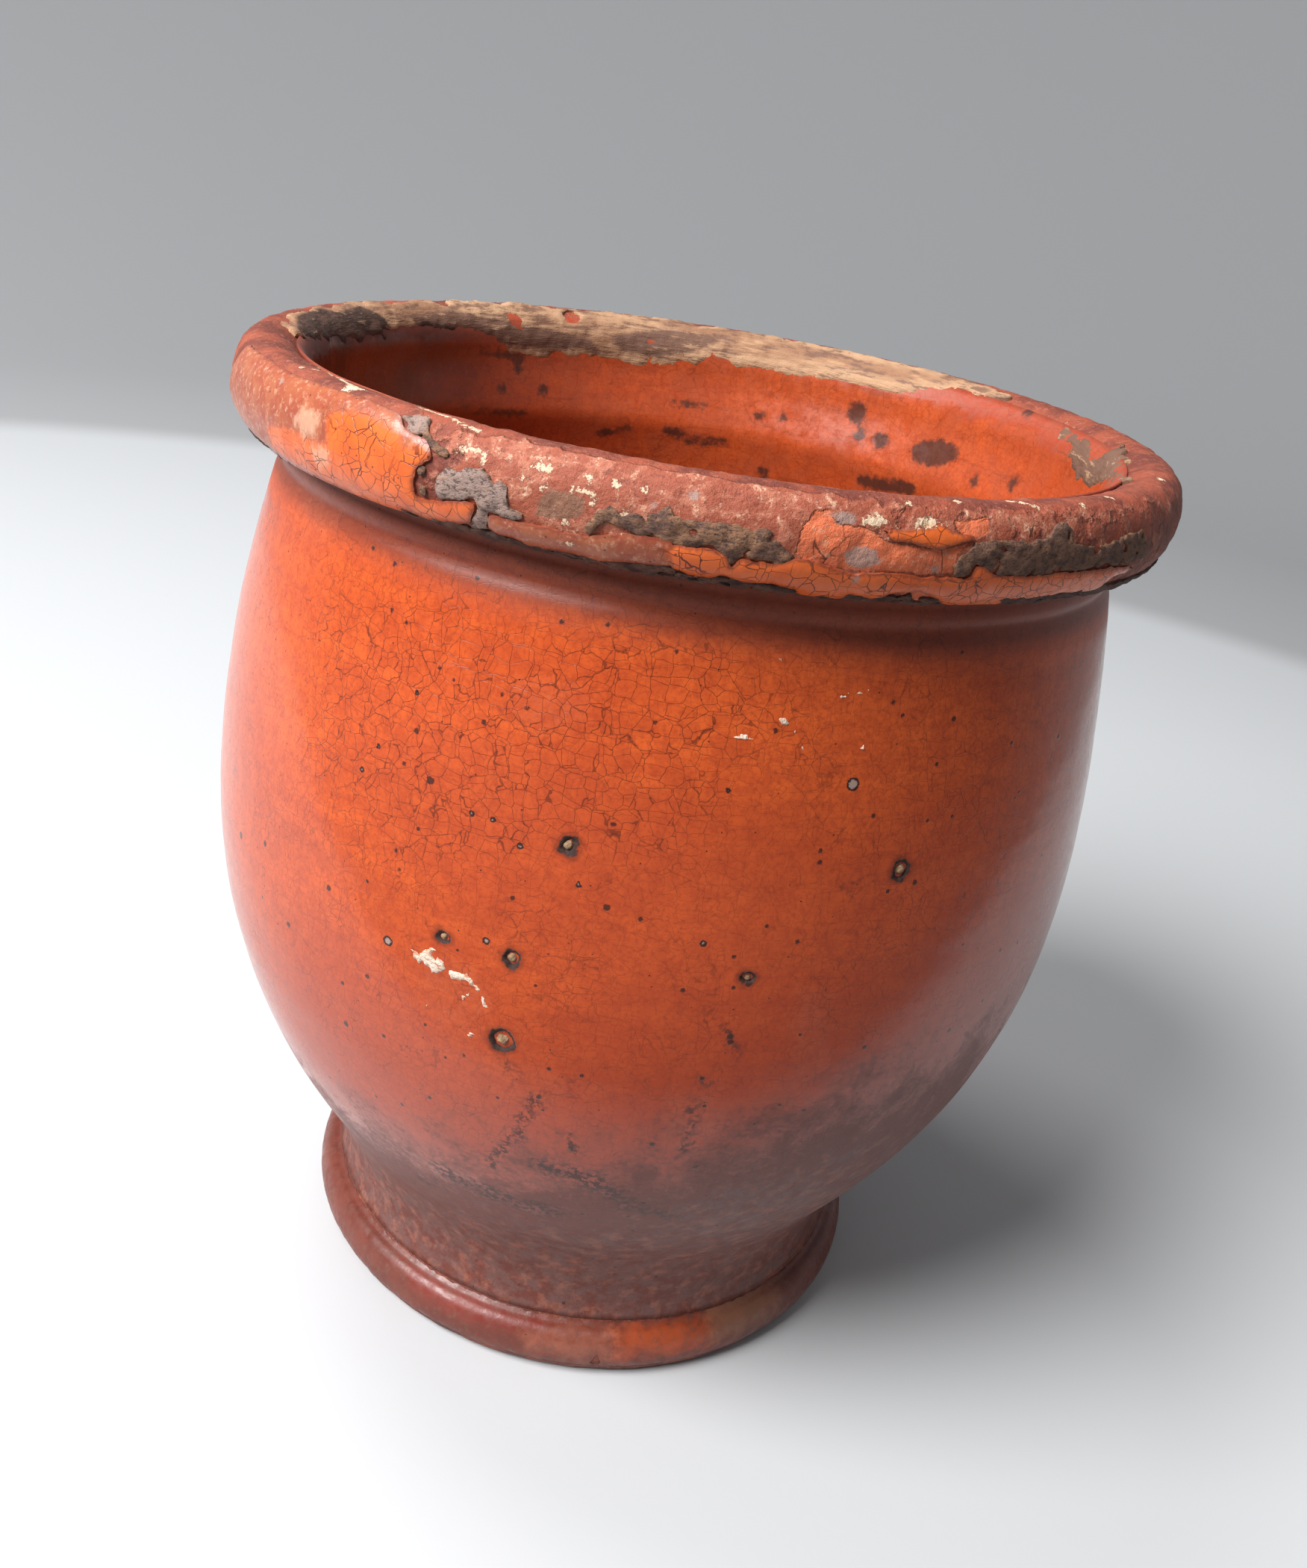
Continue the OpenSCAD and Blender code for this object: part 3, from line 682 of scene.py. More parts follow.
def shell(outline, outer, inner):
    """A closed glaze coat, from places on its face and places on its back, sunk into the clay"""
    line = [(along, outline.size.glaze) for along in outer] + [(along, -COAT_SUNK) for along in inner]
    return turned(outline, line, closed=True)


def split_rings(mesh, cuts, wanted):
    """Divides the edges that run round the jar wherever wanted(along, off) is true"""
    along, off = tracks(mesh)
    rings = []
    for edge in mesh.edges:
        a, b = edge.verts
        level = abs(a[along] - b[along]) < 1e-4 and abs(a[off] - b[off]) < 1e-4
        if level and wanted(a[along], a[off]):
            rings.append(edge)
    bmesh.ops.subdivide_edges(mesh, edges=rings, cuts=cuts, use_grid_fill=True)


def places_of(mesh):
    """Turn, along and off of every vertex of a bmesh"""
    along, off = tracks(mesh)
    return np.array([(math.atan2(v.co.x, -v.co.y), v[along], v[off]) for v in mesh.verts]).T


def refine(mesh, marks, margin, outer_off):
    """Divides the faces that lie within a margin of the marks on the side at outer_off"""
    turn, along, off = places_of(mesh)
    near = (reach_of(marks, turn, along) > -margin) & (np.abs(off - outer_off) < 1e-4)
    mesh.verts.index_update()
    edges = {edge for face in mesh.faces if all(near[v.index] for v in face.verts) for edge in face.edges}
    bmesh.ops.subdivide_edges(mesh, edges=list(edges), cuts=1, use_grid_fill=True)


def islands(outline, line, cuts, field):
    """Sheets cut from a fine turned strip where field(turn, along) is above zero"""
    mesh = turned(outline, [(along, 0.0) for along in line])
    split_rings(mesh, cuts, lambda along, off: True)
    level = mesh.verts.layers.float.new("level")
    turn, along, _ = places_of(mesh)
    for vert, value in zip(mesh.verts, field(turn, along)):
        vert[level] = value
    gone = [vert for vert in mesh.verts if vert[level] < -KEPT]
    bmesh.ops.delete(mesh, geom=gone, context="VERTS")
    crossings = [edge for edge in mesh.edges if edge.verts[0][level] * edge.verts[1][level] < 0]
    cut_verts = []
    for edge in crossings:
        a, b = edge.verts
        share = a[level] / (a[level] - b[level])
        _, vert = bmesh.utils.edge_split(edge, a, min(max(share, CUT_SHARE), 1 - CUT_SHARE))
        vert[level] = 0.0
        cut_verts.append(vert)
    bmesh.ops.connect_verts(mesh, verts=cut_verts)
    outside = [face for face in mesh.faces if sum(v[level] for v in face.verts) <= 0]
    bmesh.ops.delete(mesh, geom=outside, context="FACES")
    for parts, context in ((mesh.edges, "EDGES"), (mesh.verts, "VERTS")):
        bmesh.ops.delete(mesh, geom=[part for part in parts if not part.link_faces], context=context)
    return mesh


def thicken(mesh, thickness, sunk, edge_run, cliff):
    """Makes sheets closed flakes: a cliff of a share of the thickness, then a rise over edge_run"""
    level = mesh.verts.layers.float["level"]
    _, off = tracks(mesh)
    made = bmesh.ops.extrude_face_region(mesh, geom=mesh.faces[:], use_keep_orig=True)
    top = {item for item in made["geom"] if isinstance(item, bmesh.types.BMVert)}
    for vert in mesh.verts:
        rise = min(1.0, max(0.0, vert[level]) / edge_run) ** 0.5
        vert[off] = thickness * (cliff + (1 - cliff) * rise) if vert in top else -sunk


def as_mesh(mesh, name):
    data = bpy.data.meshes.new(name)
    mesh.to_mesh(data)
    mesh.free()
    return data


def placed(name, data):
    """An object in the scene that shows some data"""
    thing = bpy.data.objects.new(name, data)
    bpy.context.scene.collection.objects.link(thing)
    return thing


def smoothed(data, material):
    data.polygons.foreach_set("use_smooth", [True] * len(data.polygons))
    data.materials.append(material)


def piece(data, material, node, sharp=None):
    """A finished piece: faced outwards, smooth, with its material, riding on the jar for its node"""
    mesh = bmesh.new()
    mesh.from_mesh(data)
    bmesh.ops.recalc_face_normals(mesh, faces=mesh.faces[:])
    mesh.to_mesh(data)
    mesh.free()
    smoothed(data, material)
    if sharp:
        data.set_sharp_from_angle(angle=math.radians(sharp))
    thing = placed(data.name, data)
    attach(thing, BODY)
    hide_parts(node)


class Wiring:
    """A material's nodes, added and joined by short calls; sizes are in millimetres"""

    def __init__(self, name):
        self.material = bpy.data.materials.new(name)
        self.material.use_nodes = True
        self.tree = self.material.node_tree
        self.tree.nodes.clear()
        self.place = self.add("ShaderNodeTexCoord").outputs["Object"]

    def add(self, kind, inputs=None, **settings):
        node = self.tree.nodes.new(kind)
        for key, value in settings.items():
            setattr(node, key, value)
        for key, value in (inputs or {}).items():
            socket = node.inputs[key]
            if isinstance(value, bpy.types.NodeSocket):
                self.tree.links.new(value, socket)
            elif socket.type == "RGBA" and len(value) == 3:
                socket.default_value = (*value, 1)
            else:
                socket.default_value = value
        return node

    def stretched(self, x, y, z):
        """Object coordinates scaled along each axis"""
        return self.add("ShaderNodeMapping", {"Vector": self.place, "Scale": (x, y, z)}).outputs[0]

    def moved(self, place, by, millimetres):
        """A place moved by a vector times a distance"""
        return self.add("ShaderNodeVectorMath", {0: by, 1: (millimetres * MM,) * 3, 2: place},
                        operation="MULTIPLY_ADD").outputs[0]

    def noise(self, size, detail=3.0, roughness=0.5, distortion=0.0, place=None):
        inputs = {"Vector": place or self.place, "Scale": 1 / (size * MM), "Detail": detail,
                  "Roughness": roughness, "Distortion": distortion}
        return self.add("ShaderNodeTexNoise", inputs).outputs["Fac"]

    def cells(self, size, feature="F1", place=None, uneven=1.0):
        inputs = {"Vector": place or self.place, "Scale": 1 / (size * MM), "Randomness": uneven}
        return self.add("ShaderNodeTexVoronoi", inputs, feature=feature).outputs

    def field(self, name):
        """A value kept on the vertices"""
        return self.add("ShaderNodeAttribute", attribute_name=name).outputs["Fac"]

    def height(self):
        """Height over the foot in millimetres"""
        return self.times(self.add("ShaderNodeSeparateXYZ", {0: self.place}).outputs[2], 1 / MM)

    def math(self, operation, a, b=0.0):
        return self.add("ShaderNodeMath", {0: a, 1: b}, operation=operation).outputs[0]

    def minus(self, a, b):
        return self.math("SUBTRACT", a, b)

    def plus(self, *values):
        return reduce(partial(self.math, "ADD"), values)

    def times(self, *values):
        return reduce(partial(self.math, "MULTIPLY"), values)

    def most(self, *values):
        return reduce(partial(self.math, "MAXIMUM"), values)

    def rise(self, value, low, high, start=0.0, end=1.0):
        """An easy rise from start to end as value goes from low to high"""
        inputs = {"Value": value, "From Min": low, "From Max": high, "To Min": start, "To Max": end}
        return self.add("ShaderNodeMapRange", inputs, interpolation_type="SMOOTHSTEP").outputs[0]

    def patches(self, size, low, high, start=0.0, end=1.0, detail=5, roughness=0.7, distortion=0.0):
        """Noise patches of one size: an easy rise from start to end between two levels of the noise"""
        return self.rise(self.noise(size, detail, roughness, distortion), low, high, start, end)

    def marked(self, name, size, ragged, soft=0.15):
        """1 inside the marks kept under a name, with edges made ragged by noise"""
        rough = self.times(self.minus(self.noise(size, 4.0, 0.65), 0.5), ragged)
        return self.rise(self.plus(self.field(name), rough), -soft, soft)

    def steps(self, size, levels):
        """Flaking layers: their stepped height, and 1 at the foot of each step, where dirt and painted
        shade go
        """
        value = self.times(self.noise(size, 5.0, 0.6, 0.5), levels)
        step = self.math("FLOOR", value)
        return self.math("DIVIDE", step, levels), self.rise(self.minus(value, step), 0.0, 0.14, 1.0, 0.0)

    def mix(self, share, a, b):
        return self.add("ShaderNodeMix", {0: share, 6: a, 7: b}, data_type="RGBA").outputs[2]

    def layers(self, colour, *layers):
        """Lays tones over a colour, each by its share"""
        for share, tone in layers:
            colour = self.mix(share, colour, tone)
        return colour

    def bumps(self, *layers):
        """Raises values times depths in millimetres over each other"""
        normal = None
        for value, depth in layers:
            inputs = {"Height": value, "Distance": depth * MM, "Strength": 1.0}
            if normal:
                inputs["Normal"] = normal
            normal = self.add("ShaderNodeBump", inputs).outputs[0]
        return normal

    def finish(self, colour, roughness, normal, index):
        """Ends in the shader with a plain index of refraction"""
        shader = self.add("ShaderNodeBsdfPrincipled", {"Base Color": colour, "Roughness": roughness,
                                                       "Normal": normal, "IOR": index})
        self.add("ShaderNodeOutputMaterial", {0: shader.outputs[0]})
        return self.material


# Heights on the jar, in millimetres, between which a look rises to its full share
# The neck under the roll: darker glaze, which also paints the shade that the roll casts there
NECK_BROWN_AND_SHADE = (119.4, 122.4)
NECK_DULL = (116.5, 120.5)
INNER_STREAKS = (70, 118)
# Painted shade: the lining darkens deeper inside the jar, below these heights
INNER_SHADE = (40, 112)


def crackled(w, size, width=0.026):
    """Dirt lines between the crazing cells of a glaze, which meet in tees: 1 on a line"""
    block = 2.2 * size
    sway = w.add("ShaderNodeTexNoise", {"Vector": w.place, "Scale": 1 / (size * MM), "Detail": 2.0})
    bent = w.moved(w.stretched(1.0, 1.0, 1.2), sway.outputs["Color"], 0.5 * size)
    shift = w.cells(block, place=bent, uneven=0.7)["Color"]
    first = w.cells(block, "DISTANCE_TO_EDGE", bent, 0.7)["Distance"]
    second = w.cells(size, "DISTANCE_TO_EDGE", w.moved(bent, shift, 1 / MM), 0.5)["Distance"]
    edge = w.math("MINIMUM", w.times(first, 2.2), second)
    return w.rise(edge, width * 0.3, width, 1.0, 0.0)


def specks(w, size, share, radius):
    """Round dots in a share of the cells of one size: 1 in a dot"""
    cell = w.cells(size)
    pick = w.add("ShaderNodeSeparateColor", {0: cell["Color"]}).outputs[0]
    ragged = w.plus(cell["Distance"], w.times(w.noise(size * 0.15, 3), radius * 0.8))
    return w.times(w.rise(ragged, radius, radius * 1.4, 1.0, 0.0), w.math("LESS_THAN", pick, share))


def glazed(w, looks, turning):
    """Glaze colour: orange, redder where it lies thick, in bands left by the turning"""
    streaks = w.noise(turning, 5, 0.6, 0.3, w.stretched(0.08, 0.08, 1.0))
    tone = w.plus(w.times(w.noise(24, 4, 0.55, 0.6), 0.6), w.times(streaks, 0.4))
    return w.layers(
        looks.glaze_orange,
        (w.rise(tone, 0.38, 0.62, 0.0, 0.42), looks.glaze_red),
        (w.patches(2.0, 0.4, 0.6, 0.35, 0.0), looks.glaze_red),
        (w.patches(0.55, 0.36, 0.54, 0.5, 0.0), looks.glaze_red))


def coat_material(looks):
    """Glossy orange glaze with crackle, specks, burst stones and a scorched lower body"""
    w = Wiring("outer_glaze")
    height = w.height()
    below = w.field("scorch")
    mottle = w.plus(w.times(w.noise(7, 5, 0.6, 0.8), 36), w.times(w.noise(0.8, 4, 0.7), 22))
    scorch = w.minus(w.plus(below, mottle), 29)
    # Grey pink glaze low over the foot: smoked glaze and a painted reflection of the floor
    smoke_and_floor_sheen = w.layers(
        looks.glaze_greyed_and_sheen,
        (w.patches(2.4, 0.4, 0.62), looks.glaze_brown),
        (w.patches(2.2, 0.46, 0.68, 0.0, 0.4, roughness=0.65), looks.clay_pink))
    haze = w.times(w.marked("haze", 2.0, 5.0, 1.6), w.patches(0.7, 0.4, 0.6, 0.3, 1.0, detail=4))
    burn = w.times(w.marked("burn", 1.8, 5.5, 1.0), w.patches(0.8, 0.46, 0.54, roughness=0.65))
    crazing = w.times(crackled(w, 2.0, 0.027), w.marked("crazed", 9, 20, 7), 0.68)
    lines = w.plus(crazing, w.times(crackled(w, 2.6), 0.2))
    dots = w.most(specks(w, 1.7, 0.5, 0.08), specks(w, 3.1, 0.25, 0.1), specks(w, 6.0, 0.4, 0.07),
                  w.marked("speck", 0.3, 0.6, 0.1))
    stone = w.plus(w.field("stone"), w.times(w.noise(0.3, 3), 0.4))
    mouth = w.plus(w.field("pit"), w.times(w.minus(w.noise(0.5, 4, 0.7), 0.5), 0.7))
    pit = w.rise(mouth, -0.12, 0.1)
    bare = w.mix(w.patches(0.5, 0.4, 0.6, detail=4), looks.scale_dark, looks.speck)
    colour = w.layers(
        glazed(w, looks, 2.2),
        (w.rise(w.minus(below, w.times(w.noise(12, 3), 16)), -56, -8, 0.0, 0.75), looks.glaze_red),
        # Darker glaze on the neck, partly painted shade under the roll
        (w.rise(height, *NECK_BROWN_AND_SHADE, 0.0, 0.62), looks.glaze_brown),
        (w.times(haze, 0.16), looks.clay_pink),
        (w.rise(scorch, -8, 9, 0.0, 0.92), looks.glaze_brown),
        # Smoked glaze with a painted reflection of the floor, lowest on the body
        (w.rise(scorch, 8, 22, 0.0, 0.85), smoke_and_floor_sheen),
        (w.times(w.marked("stripe", 2.0, 4.0, 1.6), 0.6), looks.glaze_stripe),
        (w.times(burn, 0.75), looks.speck),
        (lines, looks.crackle),
        (w.times(dots, 0.9), looks.speck),
        (w.rise(stone, 0.05, 0.2), looks.speck),
        (w.rise(stone, 0.3, 0.5), looks.scale_grey),
        (w.rise(mouth, -0.9, 0.0, 0.0, 0.5), looks.crackle),
        (pit, bare))
    roughness = w.most(w.patches(1.2, 0.3, 0.7, 0.1, 0.2, detail=4),
                       w.rise(height, *NECK_DULL, 0.1, 0.4), w.times(burn, 0.5),
                       w.rise(scorch, -10, 12, 0.1, 0.5), w.times(pit, 0.8))
    normal = w.bumps((w.noise(7, 2), 0.08), (w.noise(1.4, 3, 0.6), 0.012), (lines, -0.012), (dots, 0.02))
    return w.finish(colour, roughness, normal, 1.5)


def lining_material(looks):
    """Glossy red glaze with dark turning streaks and scaled spots"""
    w = Wiring("inner_glaze")
    streaks = w.rise(w.noise(2.6, 5, 0.7, 1.0, w.stretched(0.16, 0.16, 1.0)), 0.56, 0.66, 0.0, 0.8)
    rubbed = w.mix(w.patches(1.6, 0.35, 0.65), looks.glaze_red, looks.clay_red)
    thin = w.marked("thin", 1.0, 3.0, 1.0)
    # Painted shade on the inner left wall, where the lamp does not reach, with a little dark stain
    left_shade_and_stain = w.times(w.field("left_shade_and_stain"), w.rise(w.noise(9, 4), 0.3, 0.6, 0.85, 0.6))
    colour = w.layers(
        glazed(w, looks, 1.6),
        (w.patches(5, 0.35, 0.65, 0.2, 0.5, roughness=0.65), looks.clay_red),
        (w.times(streaks, w.rise(w.height(), *INNER_STREAKS, 1.0, 0.25)), looks.speck),
        # Painted shade, darker deeper inside the jar
        (w.rise(w.height(), *INNER_SHADE, 0.6, 0.05), looks.glaze_brown),
        (w.times(thin, 0.8), rubbed),
        (left_shade_and_stain, looks.speck),
        (w.times(w.marked("speck", 1.2, 2.6, 0.5), 0.85), looks.scale_dark),
        (w.times(crackled(w, 2.2), 0.3), looks.crackle))
    roughness = w.most(w.patches(2, 0.3, 0.7, 0.2, 0.38, detail=4), w.times(thin, 0.55))
    normal = w.bumps((w.noise(6, 2), 0.1), (w.noise(1.2, 3, 0.6), 0.02))
    return w.finish(colour, roughness, normal, 1.55)


def daubs(w, looks):
    """Layers on the roll's clay and glaze alike: grey stains, and cream flakes with dark edges"""
    cream = w.plus(w.field("cream"), w.times(w.minus(w.noise(0.45, 5, 0.75), 0.52), 2.6))
    return (
        (w.times(w.marked("grey", 0.7, 1.0, 0.25), 0.8), looks.scale_grey),
        (w.rise(cream, -0.3, -0.1, 0.0, 0.6), looks.clay_dark),
        (w.rise(cream, -0.1, 0.08, 0.0, 0.9), looks.cream))


def rim_glaze_material(looks):
    """Orange glaze left on the roll, crackled, and tan away from the brightest patch: rubbed glaze with a
    painted grazing sheen
    """
    w = Wiring("rim_glaze")
    vivid = w.mix(w.patches(3, 0.42, 0.66, 0.0, 0.8, detail=4, roughness=0.5),
                  looks.rim_orange, looks.glaze_orange)
    lines = w.times(crackled(w, 1.9, 0.034), w.marked("bright", 4, 5, 2),
                    w.patches(4, 0.36, 0.56, 0.4, 0.95, detail=2, roughness=0.5))
    colour = w.layers(
        # Rubbed glaze with a painted grazing sheen
        looks.rim_rubbed_and_sheen,
        (w.patches(3.4, 0.38, 0.62, roughness=0.65, distortion=0.8), looks.clay_red),
        (w.patches(0.7, 0.5, 0.72, 0.0, 0.5, detail=4), looks.clay_pale),
        (w.marked("bright", 1.4, 1.2, 0.6), vivid),
        (w.times(w.marked("scar", 0.8, 3.0, 0.6), 0.5), looks.clay_pale),
        (lines, looks.crackle),
        (w.times(w.marked("thin", 0.5, 0.8, 0.2), 0.6), looks.clay_dark),
        (w.times(specks(w, 1.0, 0.3, 0.16), 0.7), looks.speck),
        *daubs(w, looks))
    roughness = w.patches(1.5, 0.3, 0.7, 0.24, 0.42, detail=4)
    normal = w.bumps((w.noise(2.5, 3), 0.1), (w.noise(0.5, 3, 0.6), 0.02), (lines, -0.03))
    return w.finish(colour, roughness, normal, 1.5)


def foot_glaze_material(looks):
    """Thin rubbed glaze on the foot band"""
    w = Wiring("foot_glaze")
    colour = w.layers(
        looks.clay_dark,
        (w.patches(5, 0.38, 0.62, roughness=0.6), looks.glaze_brown),
        (w.times(w.marked("orange", 2.6, 9.0, 2.2), 0.45), looks.glaze_orange),
        (w.times(w.marked("tan", 2.6, 9.0, 2.2), 0.5), looks.scale_tan),
        (w.times(w.marked("pink", 2.6, 9.0, 2.2), 0.35), looks.clay_pink),
        (w.patches(0.9, 0.5, 0.7, 0.0, 0.6, detail=4), looks.scale_brown),
        (w.times(w.marked("stripe", 2.0, 4.0, 1.6), 0.45), looks.glaze_stripe))
    roughness = w.patches(1.5, 0.3, 0.7, 0.3, 0.55, detail=4)
    return w.finish(colour, roughness, w.bumps((w.noise(1.2, 4, 0.6), 0.06)), 1.5)


def clay_material(looks):
    """Bare red clay: rubbed on the crest, flaked pale on the roll's face and salmon where glaze peeled"""
    w = Wiring("fired_clay")
    fine = w.noise(0.35, 4, 0.7)
    step, step_dirt_and_shade = w.steps(2.2, 16)
    flaked = w.layers(
        looks.clay_red,
        (w.rise(step, 0.46, 0.54, 0.15, 0.9), looks.clay_pink),
        (w.times(w.patches(0.8, 0.56, 0.6, 0.0, 0.75), w.rise(step, 0.44, 0.56)), looks.clay_pale),
        (w.patches(0.6, 0.38, 0.43, 0.6, 0.0), looks.clay_dark),
        # Dirt in the breaks and painted shade at the foot of each flake step
        (w.times(step_dirt_and_shade, w.patches(1.6, 0.5, 0.6, 0.0, 0.5, detail=2, roughness=0.5)), looks.scale_dark))
    flaky = w.rise(w.plus(w.field("flaky"), w.times(w.noise(2.0, 4), 1.2)), 0.75, 0.95)
    rusty = w.mix(w.noise(0.6, 4, 0.7), looks.scale_brown, looks.scale_tan)
    peel = w.marked("peel", 0.9, 1.0, 0.12)
    cracks = w.times(crackled(w, 4.0, 0.02), w.patches(4, 0.5, 0.62, detail=2, roughness=0.5))
    salmon = w.layers(
        looks.clay_salmon,
        (w.patches(2.4, 0.42, 0.66, 0.0, 0.4, roughness=0.6), looks.clay_red),
        (w.times(cracks, 0.8), looks.crackle),
        (w.patches(0.7, 0.56, 0.62, 0.0, 0.35), looks.clay_pale))
    colour = w.layers(
        looks.clay_red,
        (w.patches(5, 0.38, 0.62, detail=4, roughness=0.6), looks.clay_dark),
        (w.patches(0.9, 0.54, 0.62, 0.0, 0.35), looks.clay_pink),
        (flaky, flaked),
        (w.times(w.marked("brown", 0.7, 0.8, 0.2), 0.85), rusty),
        # Dark scale under the roll, with the painted shade of the roll's underside
        (w.times(w.marked("scale_and_shade", 1.0, 1.6, 0.5), 0.8), looks.scale_dark),
        (w.rise(fine, 0.3, 0.5, 0.3, 0.0), looks.clay_dark),
        (w.rise(fine, 0.6, 0.75, 0.0, 0.4), looks.clay_pale),
        (peel, salmon),
        *daubs(w, looks))
    layered = w.times(step, flaky, w.minus(1.0, peel))
    normal = w.bumps((layered, 0.55), (w.noise(0.6, 5, 0.75), 0.14), (w.noise(1.2, 4, 0.65), 0.12),
                     (fine, 0.06))
    return w.finish(colour, w.rise(fine, 0.3, 0.7, 0.5, 0.75), normal, 1.45)


def scale_material(name, dark, middle, pale, size, tones=(), flat=0.55):
    """Rough mineral scale in three tones, with other tones where marks of a name lie"""
    w = Wiring(name)
    layers = w.stretched(flat, flat, 1.0)
    coarse = w.noise(size * 4, 4, 0.6, place=layers)
    grit = w.noise(size, 5, 0.75, place=layers)
    colour = w.layers(
        middle,
        (w.rise(coarse, 0.38, 0.62), pale),
        *((w.times(w.marked(mark, 0.8, 1.0, 0.4), share), tone) for mark, tone, share in tones),
        (w.rise(grit, 0.4, 0.5, 0.75, 0.0), dark),
        (w.rise(grit, 0.57, 0.63, 0.0, 0.6), pale))
    normal = w.bumps((coarse, 0.2), (grit, 0.3), (w.noise(0.25, 3), 0.06))
    return w.finish(colour, w.rise(grit, 0.3, 0.7, 0.6, 0.9), normal, 1.45)


def seen(sight, pixels, half_width=0.0, closed=False):
    """A mark traced in the photograph's pixels"""
    return Mark(sight.outline, sight.places(pixels), half_width, closed)


def areas(sight, *shapes):
    return [seen(sight, pixels, closed=True) for pixels in shapes]


def trails(sight, *lines):
    return [seen(sight, pixels, half_width) for pixels, half_width in lines]


def dots(sight, *spots):
    return [seen(sight, ((x, y),), radius) for x, y, radius in spots]


def spread(outline, *spots):
    """Round marks at degrees round and millimetres along the jar"""
    return [Mark(outline, (np.radians([degrees]), np.array([along], float)), radius)
            for degrees, along, radius in spots]


def tools(context):
    """The outline and the sight that every piece is made with"""
    outline = Outline(context.scene.salt_jar_shape)
    return outline, Sight(outline, context.scene.salt_jar_stage)


def spots_at(outline, turn, along):
    r, z, _, _ = outline.at(along)
    return np.column_stack((r * np.sin(turn), -r * np.cos(turn), z))


def drawn_out(radius, turn, along):
    """Places unrolled on a drum, where noise makes streaks that run round the jar"""
    return np.column_stack((radius * np.sin(turn), radius * np.cos(turn), along))


# Over how many degrees the traced side gives way to the guessed one
BLEND = 14
# How far, in millimetres, guessed flakes are held down on the traced side
HELD = 8


def away(turn, span):
    """0 on the side that the photograph shows, out to span degrees, and 1 behind it"""
    return smooth(np.abs(np.degrees(turn)), span, span + BLEND)


def only_behind(field, turn, span):
    """A field of guessed flakes that shows only behind span degrees"""
    return field - HELD * (1 - away(turn, span))


def pit_marks(outline):
    """The burst pits as marks, with the depth of each under the clay"""
    s = outline.size
    marks = []
    for degrees, height_share, size_share in PIT_SHARES:
        z = height_share * s.jar_h
        r = np.interp(z, outline.outside[:, 1], outline.outside[:, 0])
        along = outline.nearest(np.array((r,)), np.array((z,)))
        mark = Mark(outline, (np.array((math.radians(degrees),)), along), s.pit_mouth * size_share)
        marks.append((mark, (s.pit_r - s.pit_lift) * size_share))
    return marks


def craters(pits, turn, along, ragged):
    """How deep the pits lie under each place, with uneven mouths"""
    depth = np.zeros(len(turn))
    for mark, deepest in pits:
        inwards = np.clip((mark.reach(turn, along) + ragged) / mark.half_width, 0, 1)
        depth = np.maximum(depth, deepest * smooth(inwards, 0, 0.8))
    return depth


def turning_rings(spots, size):
    """Fine ridges that the potter's fingers left round the jar"""
    return grain(np.column_stack((spots[:, :2] * 0.06, spots[:, 2])), size, 2)


def daub(skin, sight):
    """Notes the marks that lie on the roll's clay and glaze alike"""
    cream = areas(sight, *RIM_CREAM) + dots(sight, *RIM_CREAM_DOTS)
    skin.mark("cream", cream + trails(sight, *RIM_CREAM_TRAILS))
    skin.mark("grey", areas(sight, *RIM_GREY) + dots(sight, *RIM_GREY_DOTS))


# How far apart, in millimetres, the rings of a strip lie that flakes are cut from
FINE_RINGS = 0.34
WIDE_RINGS = 0.4
# The relief of a flake's face: height, size, octaves and shift of its grain, and how far it drops
GLAZE_RELIEF = (0.05, 3.0, 2, 0.0, 0.05)
FOOT_RELIEF = (0.04, 2.0, 2, 0.0, 0.04)
CRUST_RELIEF = (0.2, 1.4, 4, 1.0, 0.1)
LIP_RELIEF = (0.14, 1.4, 4, 1.0, 0.07)
NO_RELIEF = (0.0, 1.0, 1, 0.0, 0.0)


def flakes(name, outline, line, field, cuts, cover, relief, sunk=0.5, edge_run=0.8, cliff=0.45):
    """A skin of flakes cut where a field is above zero, of a thickness called cover"""
    mesh = islands(outline, line, cuts, field)
    thicken(mesh, cover, sunk, edge_run, cliff)
    skin = Skin(outline, as_mesh(mesh, name))
    height, size, octaves, shift, drop = relief
    skin.settle(np.where(skin.off > 0, height * grain(skin.spots, size, octaves, shift) - drop, 0))
    return skin


# How far the coat stops short of the foot band and of the roll, in millimetres, and its rings
COAT_LOW_GAP = 1.3
COAT_HIGH_GAP = 0.5
COAT_RINGS = 136
COAT_BACK_RINGS = 32
# How far under the lip's start the lining begins, and its rings down the wall, over the floor and behind
LINING_GAP = 4.5
LINING_RINGS = (110, 12, 40)
# How lumpy a stone is: the size of a lump in millimetres and its height as a share of the stone
LUMP_SIZE = 0.6
LUMP_SHARE = 0.16


